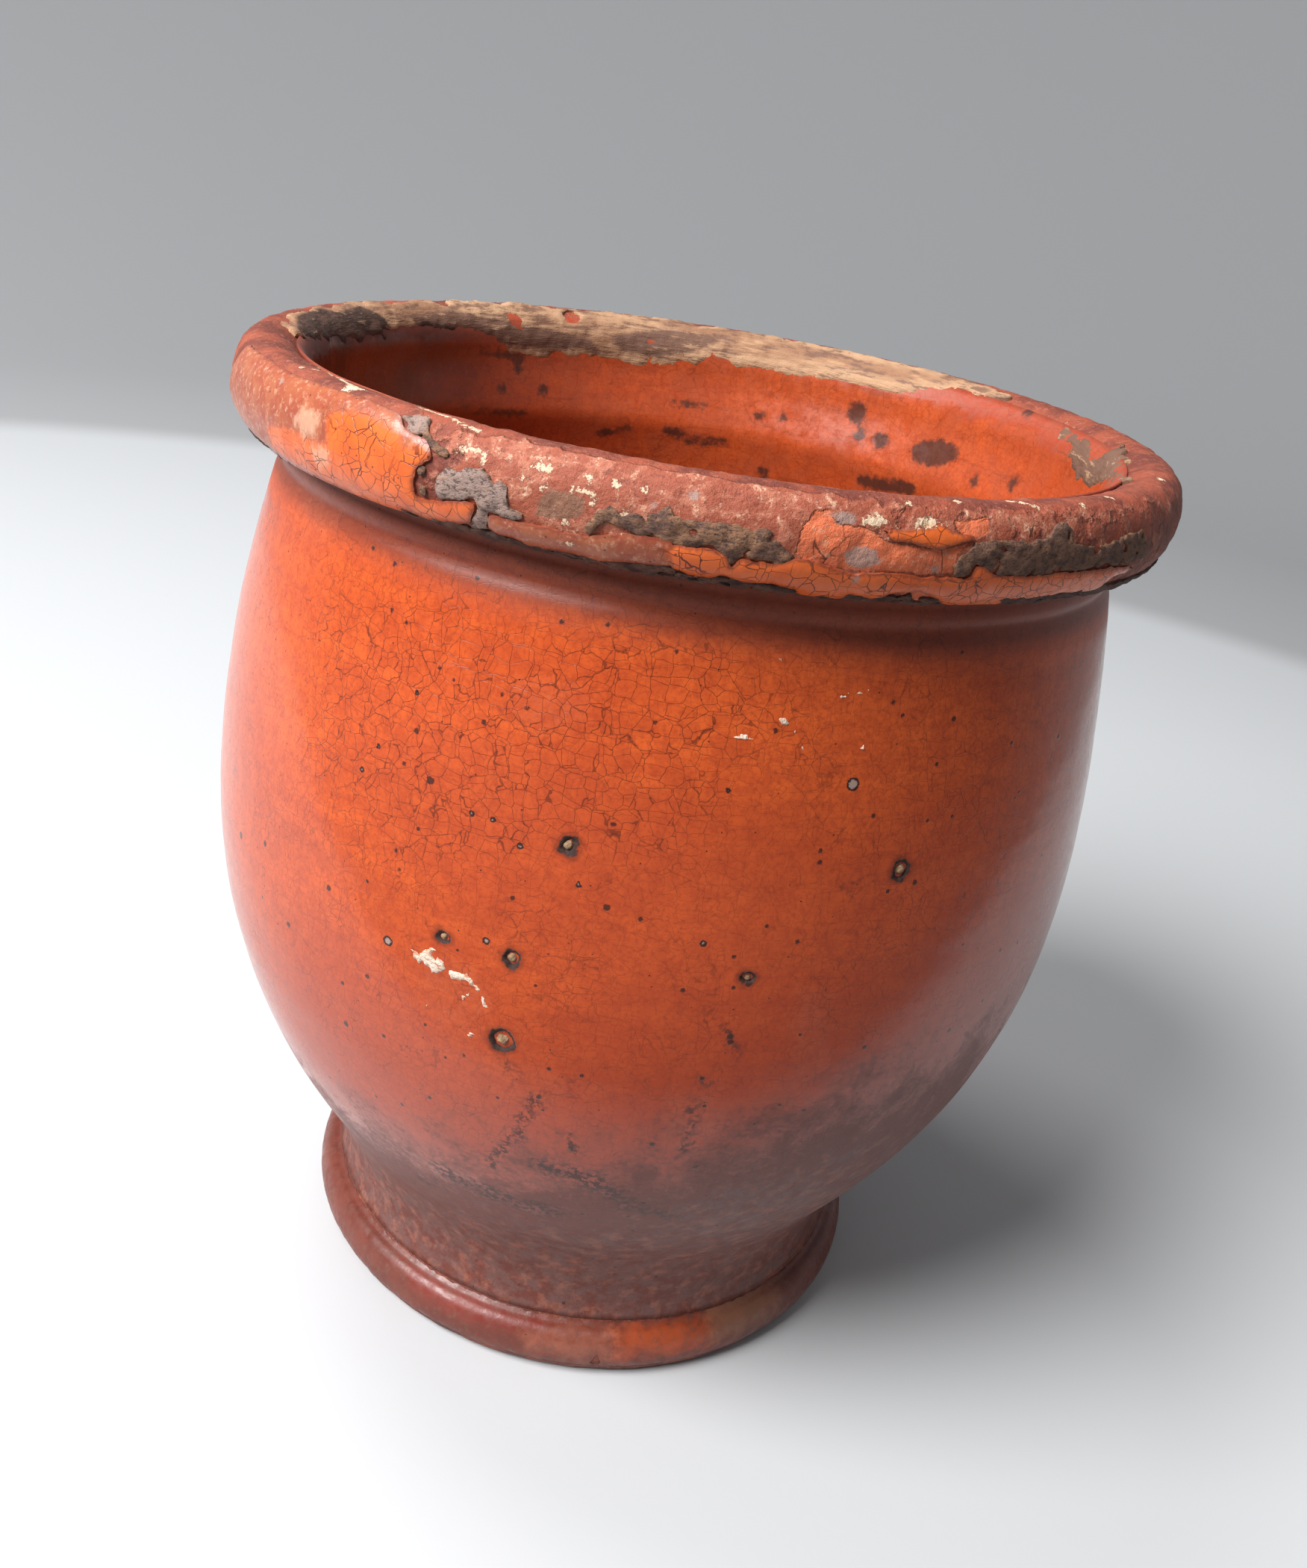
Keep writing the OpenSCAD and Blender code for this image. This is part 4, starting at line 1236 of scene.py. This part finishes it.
class SALTJAR_OT_clay(bpy.types.Operator):
    """Turns the clay: foot, wall, neck and the worn roll"""
    bl_idname = "saltjar.clay"
    bl_label = "Clay"

    def sheet(self, outline, sight, pits):
        """The turned sheet, finer over the roll, round the pits and under the small marks"""
        start = outline.start
        stretches = (("underside", "foot", 6), ("foot", "belly", 0.8), ("belly", "neck", 3),
                     ("neck", "roll", 1.2), ("roll", "throat", 0.43), ("throat", "inner shoulder", 0.7),
                     ("inner shoulder", "end", 4))
        line = [along for stretch in stretches for along in outline.steps(*stretch)[:-1]] + [start["end"]]
        mesh = turned(outline, [(along, 0.0) for along in line])
        split_rings(mesh, 6, lambda along, off: start["neck"] < along < start["inner shoulder"])
        split_rings(mesh, 2, lambda along, off: start["foot"] <= along < start["belly"])
        for margin in (5, 3.4, 2.4):
            refine(mesh, [mark for mark, _ in pits], margin, 0.0)
        small = areas(sight, PEELED, PEELED_CHIP, RIM_PEELED_LOW, RIM_WINDOW, *RIM_CREAM)
        refine(mesh, small + dots(sight, *RIM_CREAM_DOTS) + trails(sight, *RIM_CREAM_TRAILS), 0.5, 0.0)
        return as_mesh(mesh, "clay")

    def execute(self, context):
        outline, sight = tools(context)
        start = outline.start
        pits = pit_marks(outline)
        skin = Skin(outline, self.sheet(outline, sight, pits))
        rim = smooth(skin.along, start["ledge"], start["roll"] + 1)
        rim *= 1 - smooth(skin.along, start["throat"] + 4, start["throat"] + 8)
        foot = smooth(skin.along, start["foot"], start["foot"] + 2)
        foot *= 1 - smooth(skin.along, start["hollow"] - 1, start["hollow"] + 2)
        coarse = grain(skin.spots, 4.0, 4)
        flaked = np.round(grain(skin.spots, 2.2, 3, shift=7.0) * 2.5) / 2.5
        wear = rim * (0.22 + 0.10 * coarse + 0.12 * np.clip(flaked, -1, 1)) + foot * (0.1 + 0.12 * coarse)
        skin.settle(-wear - craters(pits, skin.turn, skin.along, 0.4 * grain(skin.spots, 1.3, 3)))
        degrees = np.degrees(skin.turn)
        zone = np.exp(-((degrees + 4) / 17) ** 4) + 0.35 * np.exp(-((degrees - 30) / 30) ** 2)
        zone = np.maximum(zone, away(skin.turn, 95) * (0.5 + 0.8 * grain(skin.spots, 18.0, 2)))
        crest = smooth(skin.along, start["lip"] - 2.2, start["lip"] - 0.8)
        skin.note("flaky", rim * zone * (1 - crest))
        skin.mark("peel", areas(sight, PEELED, PEELED_CHIP, RIM_PEELED_LOW))
        skin.mark("brown", areas(sight, RIM_WINDOW))
        # Dark scale and painted shade under the roll: from the neck up onto the roll's lower edge
        under = start["roll"] + 1.6 - skin.along
        skin.note("scale_and_shade", np.clip(under, FAR, 2) * (skin.along > start["neck"]))
        daub(skin, sight)
        piece(skin.mesh, clay_material(context.scene.salt_jar_looks), "clay_body")
        return {"FINISHED"}


class SALTJAR_OT_coat(bpy.types.Operator):
    """Lays the glaze coat over the outside, pitted and specked"""
    bl_idname = "saltjar.coat"
    bl_label = "Outer glaze"

    def execute(self, context):
        outline, sight = tools(context)
        glaze = outline.size.glaze
        first, last = outline.start["hollow"] + COAT_LOW_GAP, outline.start["ledge"] - COAT_HIGH_GAP
        face, back = np.linspace(first, last, COAT_RINGS), np.linspace(last, first, COAT_BACK_RINGS)
        mesh = shell(outline, face, back)
        split_rings(mesh, 3, lambda along, off: off > 0)
        pits = pit_marks(outline)
        holes = [mark for mark, _ in pits]
        stones = dots(sight, *STONES) + spread(outline, *STONES_BEHIND)
        flecks = dots(sight, *SPECKS) + stones
        for marks, margin in ((holes, 4), (holes + flecks, 1.6), (flecks, 0.7)):
            refine(mesh, marks, margin, glaze)
        skin = Skin(outline, as_mesh(mesh, "outer_coat"))
        waves = 0.10 * grain(skin.spots, 22.0, 2, shift=3.0)
        relief = 0.05 * turning_rings(skin.spots, 5.0) + waves - 0.08
        ragged = 0.4 * grain(skin.spots, 1.3, 3)
        depth = craters(pits, skin.turn, skin.along, ragged)
        skin.settle(np.where(skin.off > 0, relief * (1 - np.clip(depth, 0, 1)), 0) - depth)
        skin.note("pit", reach_of(holes, skin.turn, skin.along) + ragged)
        skin.mark("speck", dots(sight, *SPECKS))
        skin.mark("stone", stones)
        skin.mark("haze", areas(sight, *HAZES))
        skin.mark("burn", trails(sight, *BURNS) + spread(outline, *BURNS_BEHIND))
        skin.mark("stripe", areas(sight, RED_STRIPE))
        crazed = reach_of(areas(sight, CRAZED), skin.turn, skin.along)
        behind = away(skin.turn, 70) * 8 * grain(skin.spots, 30.0, 2, shift=8.0) - 1
        skin.note("crazed", np.maximum(crazed, behind))
        edge_degrees, edge_z = np.array(SCORCH_EDGE, float).T
        skin.note("scorch", np.interp(np.degrees(skin.turn), edge_degrees, edge_z) - skin.z)
        piece(skin.mesh, coat_material(context.scene.salt_jar_looks), "outer_glaze")
        return {"FINISHED"}


class SALTJAR_OT_lining(bpy.types.Operator):
    """Lays the glaze lining from the throat over the floor"""
    bl_idname = "saltjar.lining"
    bl_label = "Inner glaze"

    def execute(self, context):
        outline, sight = tools(context)
        start = outline.start
        first, floor, last = start["lip"] + LINING_GAP, start["floor"], start["end"]
        wall_rings, floor_rings, back_rings = LINING_RINGS
        face = np.append(np.linspace(first, floor, wall_rings), np.linspace(floor, last, floor_rings)[1:])
        mesh = shell(outline, face, np.linspace(last, first, back_rings))
        split_rings(mesh, 2, lambda along, off: off > 0)
        skin = Skin(outline, as_mesh(mesh, "lining"))
        waves = 0.12 * grain(skin.spots, 18.0, 2, shift=5.0)
        relief = 0.08 * turning_rings(skin.spots, 4.0) + waves - 0.05
        skin.settle(np.where(skin.off > 0, relief, 0))
        skin.note("thin", 3.5 - (skin.along - first) + 1.6 * grain(skin.spots, 5.0, 3))
        # Painted shade on the inner left wall, with a little dark stain, fading out away from the left
        skin.note("left_shade_and_stain", np.exp(-((np.degrees(skin.turn) + 95) / 42) ** 4))
        stains = dots(sight, *LINING_SPOTS) + trails(sight, *LINING_TRAILS) + areas(sight, LINING_PATCH)
        skin.mark("speck", stains)
        piece(skin.mesh, lining_material(context.scene.salt_jar_looks), "inner_glaze")
        return {"FINISHED"}


class SALTJAR_OT_rim_glaze(bpy.types.Operator):
    """Leaves islands of glaze on the roll"""
    bl_idname = "saltjar.rim_glaze"
    bl_label = "Rim glaze"

    def execute(self, context):
        outline, sight = tools(context)
        start = outline.start
        traced = areas(sight, RIM_GLAZE_LEFT, RIM_GLAZE_LOW_LEFT, RIM_GLAZE_LOW, RIM_GLAZE_HIGH)

        def field(turn, along):
            long = drawn_out(26, turn, along)
            top = start["roll"] + 6 + 4.5 * grain(long, 8.0, 3, shift=4.0)
            band = np.minimum(along - start["roll"] - 2.6, top - along)
            behind = only_behind(np.minimum(band, 5 * grain(long, 6.0, 3) + 2.2), turn, 98)
            frayed = 0.22 * grain(spots_at(outline, turn, along), 0.9, 3, shift=4.0)
            return np.maximum(reach_of(traced, turn, along), behind) + frayed

        line = np.arange(start["roll"] + 1.6, start["lip"] + 2, FINE_RINGS)
        skin = flakes("rim_coat", outline, line, field, cuts=9, cover=outline.size.thin_glaze,
                      relief=GLAZE_RELIEF)
        skin.note("thin", -skin.layer("level") + 0.25)
        bright = areas(sight, RIM_GLAZE_BRIGHT, RIM_GLAZE_LOW, RIM_GLAZE_HIGH)
        behind = 3 * away(skin.turn, 100) - 1.5
        skin.note("bright", np.maximum(reach_of(bright, skin.turn, skin.along), behind))
        skin.mark("scar", areas(sight, *RIM_SCARS))
        daub(skin, sight)
        piece(skin.mesh, rim_glaze_material(context.scene.salt_jar_looks), "rim_glaze",
              sharp=40)
        return {"FINISHED"}


class SALTJAR_OT_foot_glaze(bpy.types.Operator):
    """Leaves islands of thin glaze on the foot band"""
    bl_idname = "saltjar.foot_glaze"
    bl_label = "Foot glaze"

    def execute(self, context):
        outline, sight = tools(context)
        start = outline.start

        def field(turn, along):
            spots = spots_at(outline, turn, along)
            band = np.minimum(along - start["foot"] - 3.4, start["hollow"] + 0.9 - along)
            worn = np.minimum(band, 1.8 * grain(spots, 6.0, 3, shift=2.0) + 1.4)
            return worn + 0.2 * grain(spots, 0.9, 3, shift=4.0)

        line = np.arange(start["foot"] + 2.4, start["hollow"] + 2.4, WIDE_RINGS)
        skin = flakes("foot_coat", outline, line, field, cuts=5, cover=0.18, relief=FOOT_RELIEF)
        for name, pixels in (("orange", FOOT_ORANGE), ("tan", FOOT_TAN), ("pink", FOOT_PINK),
                             ("stripe", RED_STRIPE)):
            skin.mark(name, areas(sight, pixels))
        piece(skin.mesh, foot_glaze_material(context.scene.salt_jar_looks), "foot_glaze",
              sharp=40)
        return {"FINISHED"}


class SALTJAR_OT_scale(bpy.types.Operator):
    """Grows the mineral scale on the roll's face, along its lower edge and inside the lip"""
    bl_idname = "saltjar.scale"
    bl_label = "Scale"

    def face(self, outline, sight, looks):
        """Grey brown scale on the roll's face"""
        start = outline.start
        rough = areas(sight, CRUST_DARK, CRUST_BROWN)
        lilac = areas(sight, CRUST_SMALL, CRUST_LILAC)
        traced = lilac + trails(sight, (CRUST_TAIL, 0.4)) + dots(sight, *CRUST_DOTS)

        def field(turn, along):
            spots = spots_at(outline, turn, along)
            band = np.minimum(along - start["roll"] - 4.5, start["lip"] - 1.5 - along)
            waves = 5.0 * grain(drawn_out(22, turn, along), 5.0, 3, shift=9.0) - 2.2
            behind = only_behind(np.minimum(band, waves), turn, 100)
            worn = np.minimum(np.maximum(reach_of(rough, turn, along), behind),
                              1.3 * grain(spots, 1.8, 3, shift=3.0) + 0.75)
            return np.maximum(reach_of(traced, turn, along), worn) + 0.35 * grain(spots, 0.9, 4, shift=6.0)

        line = np.arange(start["roll"] + 1.6, start["lip"] + 1.4, FINE_RINGS)
        skin = flakes("rim_crust", outline, line, field, cuts=9, cover=0.3, relief=CRUST_RELIEF,
                      edge_run=1.0, cliff=0.4)
        skin.mark("lilac", lilac)
        skin.mark("brown", areas(sight, CRUST_BROWN))
        tones = (("lilac", looks.scale_grey, 0.9), ("brown", looks.scale_brown, 0.7))
        material = scale_material("rim_scale", looks.scale_dark, looks.scale_brown, looks.scale_tan,
                                  size=0.45, tones=tones)
        piece(skin.mesh, material, "rim_scale_patches", sharp=60)

    def edge(self, outline, sight, looks):
        """Dark scale along the roll's lower edge"""
        start = outline.start
        low = trails(sight, *EDGE_TRAILS)
        for mark in low:
            mark.line[:, 1] = np.maximum(mark.line[:, 1], start["roll"] + 2.0)

        def field(turn, along):
            spots = spots_at(outline, turn, along)
            top = start["roll"] + 1.9 + 1.5 * grain(spots, 3.0, 3, shift=2.0)
            band = np.minimum(along - start["roll"] - 0.4, top - along)
            return np.maximum(band, reach_of(low, turn, along)) + 0.4 * grain(spots, 0.9, 4, shift=8.0)

        line = np.arange(start["roll"] + 0.2, start["roll"] + 4.6, FINE_RINGS)
        skin = flakes("edge_crust", outline, line, field, cuts=9, cover=0.35, relief=CRUST_RELIEF,
                      edge_run=1.0, cliff=0.4)
        material = scale_material("edge_scale", looks.speck, looks.scale_dark, looks.scale_brown,
                                  size=0.45)
        piece(skin.mesh, material, "edge_scale", sharp=60)

    def lip(self, outline, sight, looks):
        """Tan scale inside the lip, down to a traced edge"""
        start = outline.start
        stain_and_shade = areas(sight, LIP_STAIN_AND_SHADE)
        patches = stain_and_shade + areas(sight, LIP_RIGHT)
        bare = dots(sight, *LIP_BARE)
        edge_turn, edge_along = sight.places(LIP_EDGE)
        edge_turn = np.mod(edge_turn, math.tau)
        order = np.argsort(edge_turn)

        def field(turn, along):
            spots = spots_at(outline, turn, along)
            sway = grain(spots, 6.0, 3)
            lower = np.interp(np.mod(turn + 0.04 * sway, math.tau), edge_turn[order], edge_along[order])
            upper = start["lip"] + 1.6 + 1.2 * grain(spots, 4.0, 3, shift=6.0)
            band = np.minimum(along - upper, lower + 0.5 * sway - along)
            degrees = np.degrees(turn) + 12 * sway
            band -= 7 * (1 - np.where(degrees < 0, smooth(-degrees, 62, 92), smooth(degrees, 84, 140)))
            torn = reach_of(patches, turn, along) + 1.3 * grain(spots, 2.2, 3, shift=7.0) - 0.5
            whole = np.minimum(np.maximum(band, torn), -reach_of(bare, turn, along))
            return whole + 0.3 * grain(spots, 0.8, 3, shift=5.0)

        line = np.arange(start["lip"] + 0.5, start["throat"] + 5, WIDE_RINGS)
        skin = flakes("lip_crust", outline, line, field, cuts=7, cover=0.5, relief=LIP_RELIEF,
                      edge_run=0.7 / 0.65, cliff=0.35)
        # Dark tone for the stain and the painted shade at the lip's left end, and for the painted shadow
        # line
        skin.mark("dark", stain_and_shade + trails(sight, (LIP_SHADOW_LINE, 0.5)))
        skin.mark("brown", areas(sight, LIP_BROWN, LIP_BROWN_LEFT, LIP_RIGHT))
        tones = (("brown", looks.scale_brown, 0.9), ("dark", looks.scale_dark, 0.95))
        material = scale_material("lip_scale", looks.scale_brown, looks.scale_tan, looks.scale_pale,
                                  size=1.0, tones=tones, flat=0.16)
        piece(skin.mesh, material, "lip_scale_patches", sharp=60)

    def execute(self, context):
        outline, sight = tools(context)
        for grow in (self.face, self.edge, self.lip):
            grow(outline, sight, context.scene.salt_jar_looks)
        return {"FINISHED"}


class SALTJAR_OT_lime(bpy.types.Operator):
    """Dabs the lime flakes on the belly"""
    bl_idname = "saltjar.lime"
    bl_label = "Lime"

    def execute(self, context):
        outline, sight = tools(context)
        looks = context.scene.salt_jar_looks
        marks = areas(sight, *LIME_AREAS) + trails(sight, *LIME_TRAILS) + spread(outline, *LIME_BEHIND)

        def field(turn, along):
            frayed = 1.3 * grain(spots_at(outline, turn, along), 1.0, 4, shift=5.0)
            return reach_of(marks, turn, along) + frayed - 0.25

        line = np.arange(outline.start["belly"] + 8, outline.start["neck"] - 2, WIDE_RINGS)
        skin = flakes("lime_marks", outline, line, field, cuts=11, cover=outline.size.glaze + 0.1,
                      relief=NO_RELIEF, sunk=0.0, edge_run=0.5)
        material = scale_material("lime", looks.clay_pink, looks.clay_pale, looks.lime_white, size=0.5)
        piece(skin.mesh, material, "lime_flakes", sharp=40)
        return {"FINISHED"}


class SALTJAR_OT_grit(bpy.types.Operator):
    """Sets a stone in each burst pit"""
    bl_idname = "saltjar.grit"
    bl_label = "Grit"

    def execute(self, context):
        outline, _ = tools(context)
        looks = context.scene.salt_jar_looks
        s = outline.size
        mesh = bmesh.new()
        for mark, _ in pit_marks(outline):
            share = mark.half_width / s.pit_mouth
            r, z, out_r, out_z = outline.at(mark.line[0, 1])
            r -= out_r * s.stone_sink * share
            z -= out_z * s.stone_sink * share
            centre = Vector((r * math.sin(mark.middle), -r * math.cos(mark.middle), z)) * MM
            made = bmesh.ops.create_icosphere(mesh, subdivisions=4, radius=s.stone_r * share * MM,
                                              matrix=Matrix.Translation(centre))
            for vert in made["verts"]:
                lump = noise.fractal(vert.co / (LUMP_SIZE * MM), 1.0, 2.0, 3)
                vert.co += (vert.co - centre) * LUMP_SHARE * (lump - 0.4)
        material = scale_material("grit", looks.scale_tan, looks.grit_pale, looks.scale_pale, size=0.4,
                                  flat=1.0)
        piece(as_mesh(mesh, "pit_stones"), material, "grit_stones", sharp=60)
        return {"FINISHED"}


# The stage in metres: the flat floor's radius, the curve at its edge and its top
FLOOR_R = 0.7
FLOOR_CURVE = 0.5
FLOOR_TOP = 1.0
FLOOR_STEPS = 96
# The mapping that makes the floor's pale oval, a painted pool of light, and where the painted shade in
# front gives way to the backdrop at the back
LIT_POOL_SHIFT = (0.14, -0.69, 0)
LIT_POOL_SCALE = (2.38, 3.45, 0)
FRONT_Y, BACK_Y = -0.1, 0.3
# The lamps' aim and sizes, the place of the upper one and the sky's colour
LAMP_AIM = (0, 0, 0.08)
KEY_SIZE = 0.6
TOP_SIZE = 0.4
TOP_PLACE = (-0.4, 0.2, 1.15)
SKY = (0.95, 0.98, 1.0, 1)


class SALTJAR_OT_stage(bpy.types.Operator):
    """Sets the camera, the soft light and the pale floor that curves up all round, with a painted pool of
    light round the jar and painted shade in front
    """
    bl_idname = "saltjar.stage"
    bl_label = "Stage"

    def lamp(self, name, place, size, power):
        data = bpy.data.lights.new(name, "AREA")
        data.shape = "DISK"
        data.size = size
        data.energy = power
        lamp = placed(name, data)
        lamp.location = place
        lamp.rotation_euler = (Vector(LAMP_AIM) - Vector(place)).to_track_quat("-Z", "Y").to_euler()

    def floor(self, stage):
        mesh = bmesh.new()
        angles = np.linspace(0, math.pi / 2, 14)
        curve = [(FLOOR_R + FLOOR_CURVE * math.sin(a), FLOOR_CURVE * (1 - math.cos(a))) for a in angles]
        line = ((0, 0), *curve, (FLOOR_R + FLOOR_CURVE, FLOOR_TOP))
        verts = [mesh.verts.new((r, 0, z)) for r, z in line]
        spun(mesh, verts, zip(verts, verts[1:]), FLOOR_STEPS)
        w = Wiring("floor")
        # A painted pool of light: the floor is pale inside an oval and darker outside it, with painted
        # shade in front
        lit_pool_map = {"Vector": w.place, "Location": LIT_POOL_SHIFT, "Scale": LIT_POOL_SCALE}
        flat = w.add("ShaderNodeMapping", lit_pool_map).outputs[0]
        reach = w.add("ShaderNodeVectorMath", {0: flat}, operation="LENGTH").outputs["Value"]
        back = w.rise(w.add("ShaderNodeSeparateXYZ", {0: w.place}).outputs[1], FRONT_Y, BACK_Y)
        outside_pool = w.mix(back, stage.floor_front_shade, stage.floor_grey)
        colour = w.mix(w.rise(reach, 1.0, 1.13), stage.floor_pale, outside_pool)
        data = as_mesh(mesh, "floor")
        smoothed(data, w.finish(colour, 0.9, w.bumps((w.noise(2, 2), 0.02)), 1.5))
        placed("floor", data)

    def execute(self, context):
        scene = context.scene
        stage = scene.salt_jar_stage
        _, sight = tools(context)
        data = bpy.data.cameras.new("camera")
        data.sensor_width = SENSOR
        data.lens = PHOTO_FOCAL * SENSOR / PHOTO_HEIGHT
        data.clip_start = 0.01
        camera = placed("camera", data)
        columns = np.column_stack((sight.right, sight.up, -sight.ahead)).tolist()
        camera.matrix_world = Matrix.Translation(stage.eye) @ Matrix(columns).to_4x4()
        scene.camera = camera
        self.floor(stage)
        self.lamp("key", stage.key_place, KEY_SIZE, stage.key_power)
        self.lamp("top", TOP_PLACE, TOP_SIZE, stage.top_power)
        world = bpy.data.worlds.new("world")
        world.use_nodes = True
        background = world.node_tree.nodes["Background"].inputs
        background["Strength"].default_value = stage.sky
        background["Color"].default_value = SKY
        scene.world = world
        scene.view_settings.view_transform = "Standard"
        return {"FINISHED"}


class SALTJAR_PT_panel(bpy.types.Panel):
    """Lists the jar's pieces"""
    bl_idname = "SALTJAR_PT_panel"
    bl_label = "Salt Jar"
    bl_space_type = "VIEW_3D"
    bl_region_type = "UI"
    bl_category = "Salt Jar"

    def draw(self, context):
        for operator in OPERATORS:
            self.layout.operator(operator.bl_idname)


GROUPS = (("salt_jar_shape", JarShape), ("salt_jar_looks", JarLooks), ("salt_jar_stage", JarStage))
OPERATORS = (SALTJAR_OT_stage, SALTJAR_OT_clay, SALTJAR_OT_coat, SALTJAR_OT_lining, SALTJAR_OT_rim_glaze,
             SALTJAR_OT_foot_glaze, SALTJAR_OT_scale, SALTJAR_OT_lime, SALTJAR_OT_grit)


def register():
    for name, group in GROUPS:
        bpy.utils.register_class(group)
        setattr(bpy.types.Scene, name, bpy.props.PointerProperty(type=group))
    for operator in OPERATORS:
        bpy.utils.register_class(operator)
    bpy.utils.register_class(SALTJAR_PT_panel)


def unregister():
    bpy.utils.unregister_class(SALTJAR_PT_panel)
    for operator in reversed(OPERATORS):
        bpy.utils.unregister_class(operator)
    for name, group in reversed(GROUPS):
        delattr(bpy.types.Scene, name)
        bpy.utils.unregister_class(group)


def main():
    register()
    for operator in OPERATORS:
        category, name = operator.bl_idname.split(".")
        getattr(getattr(bpy.ops, category), name)()


if __name__ == "__main__":
    main()
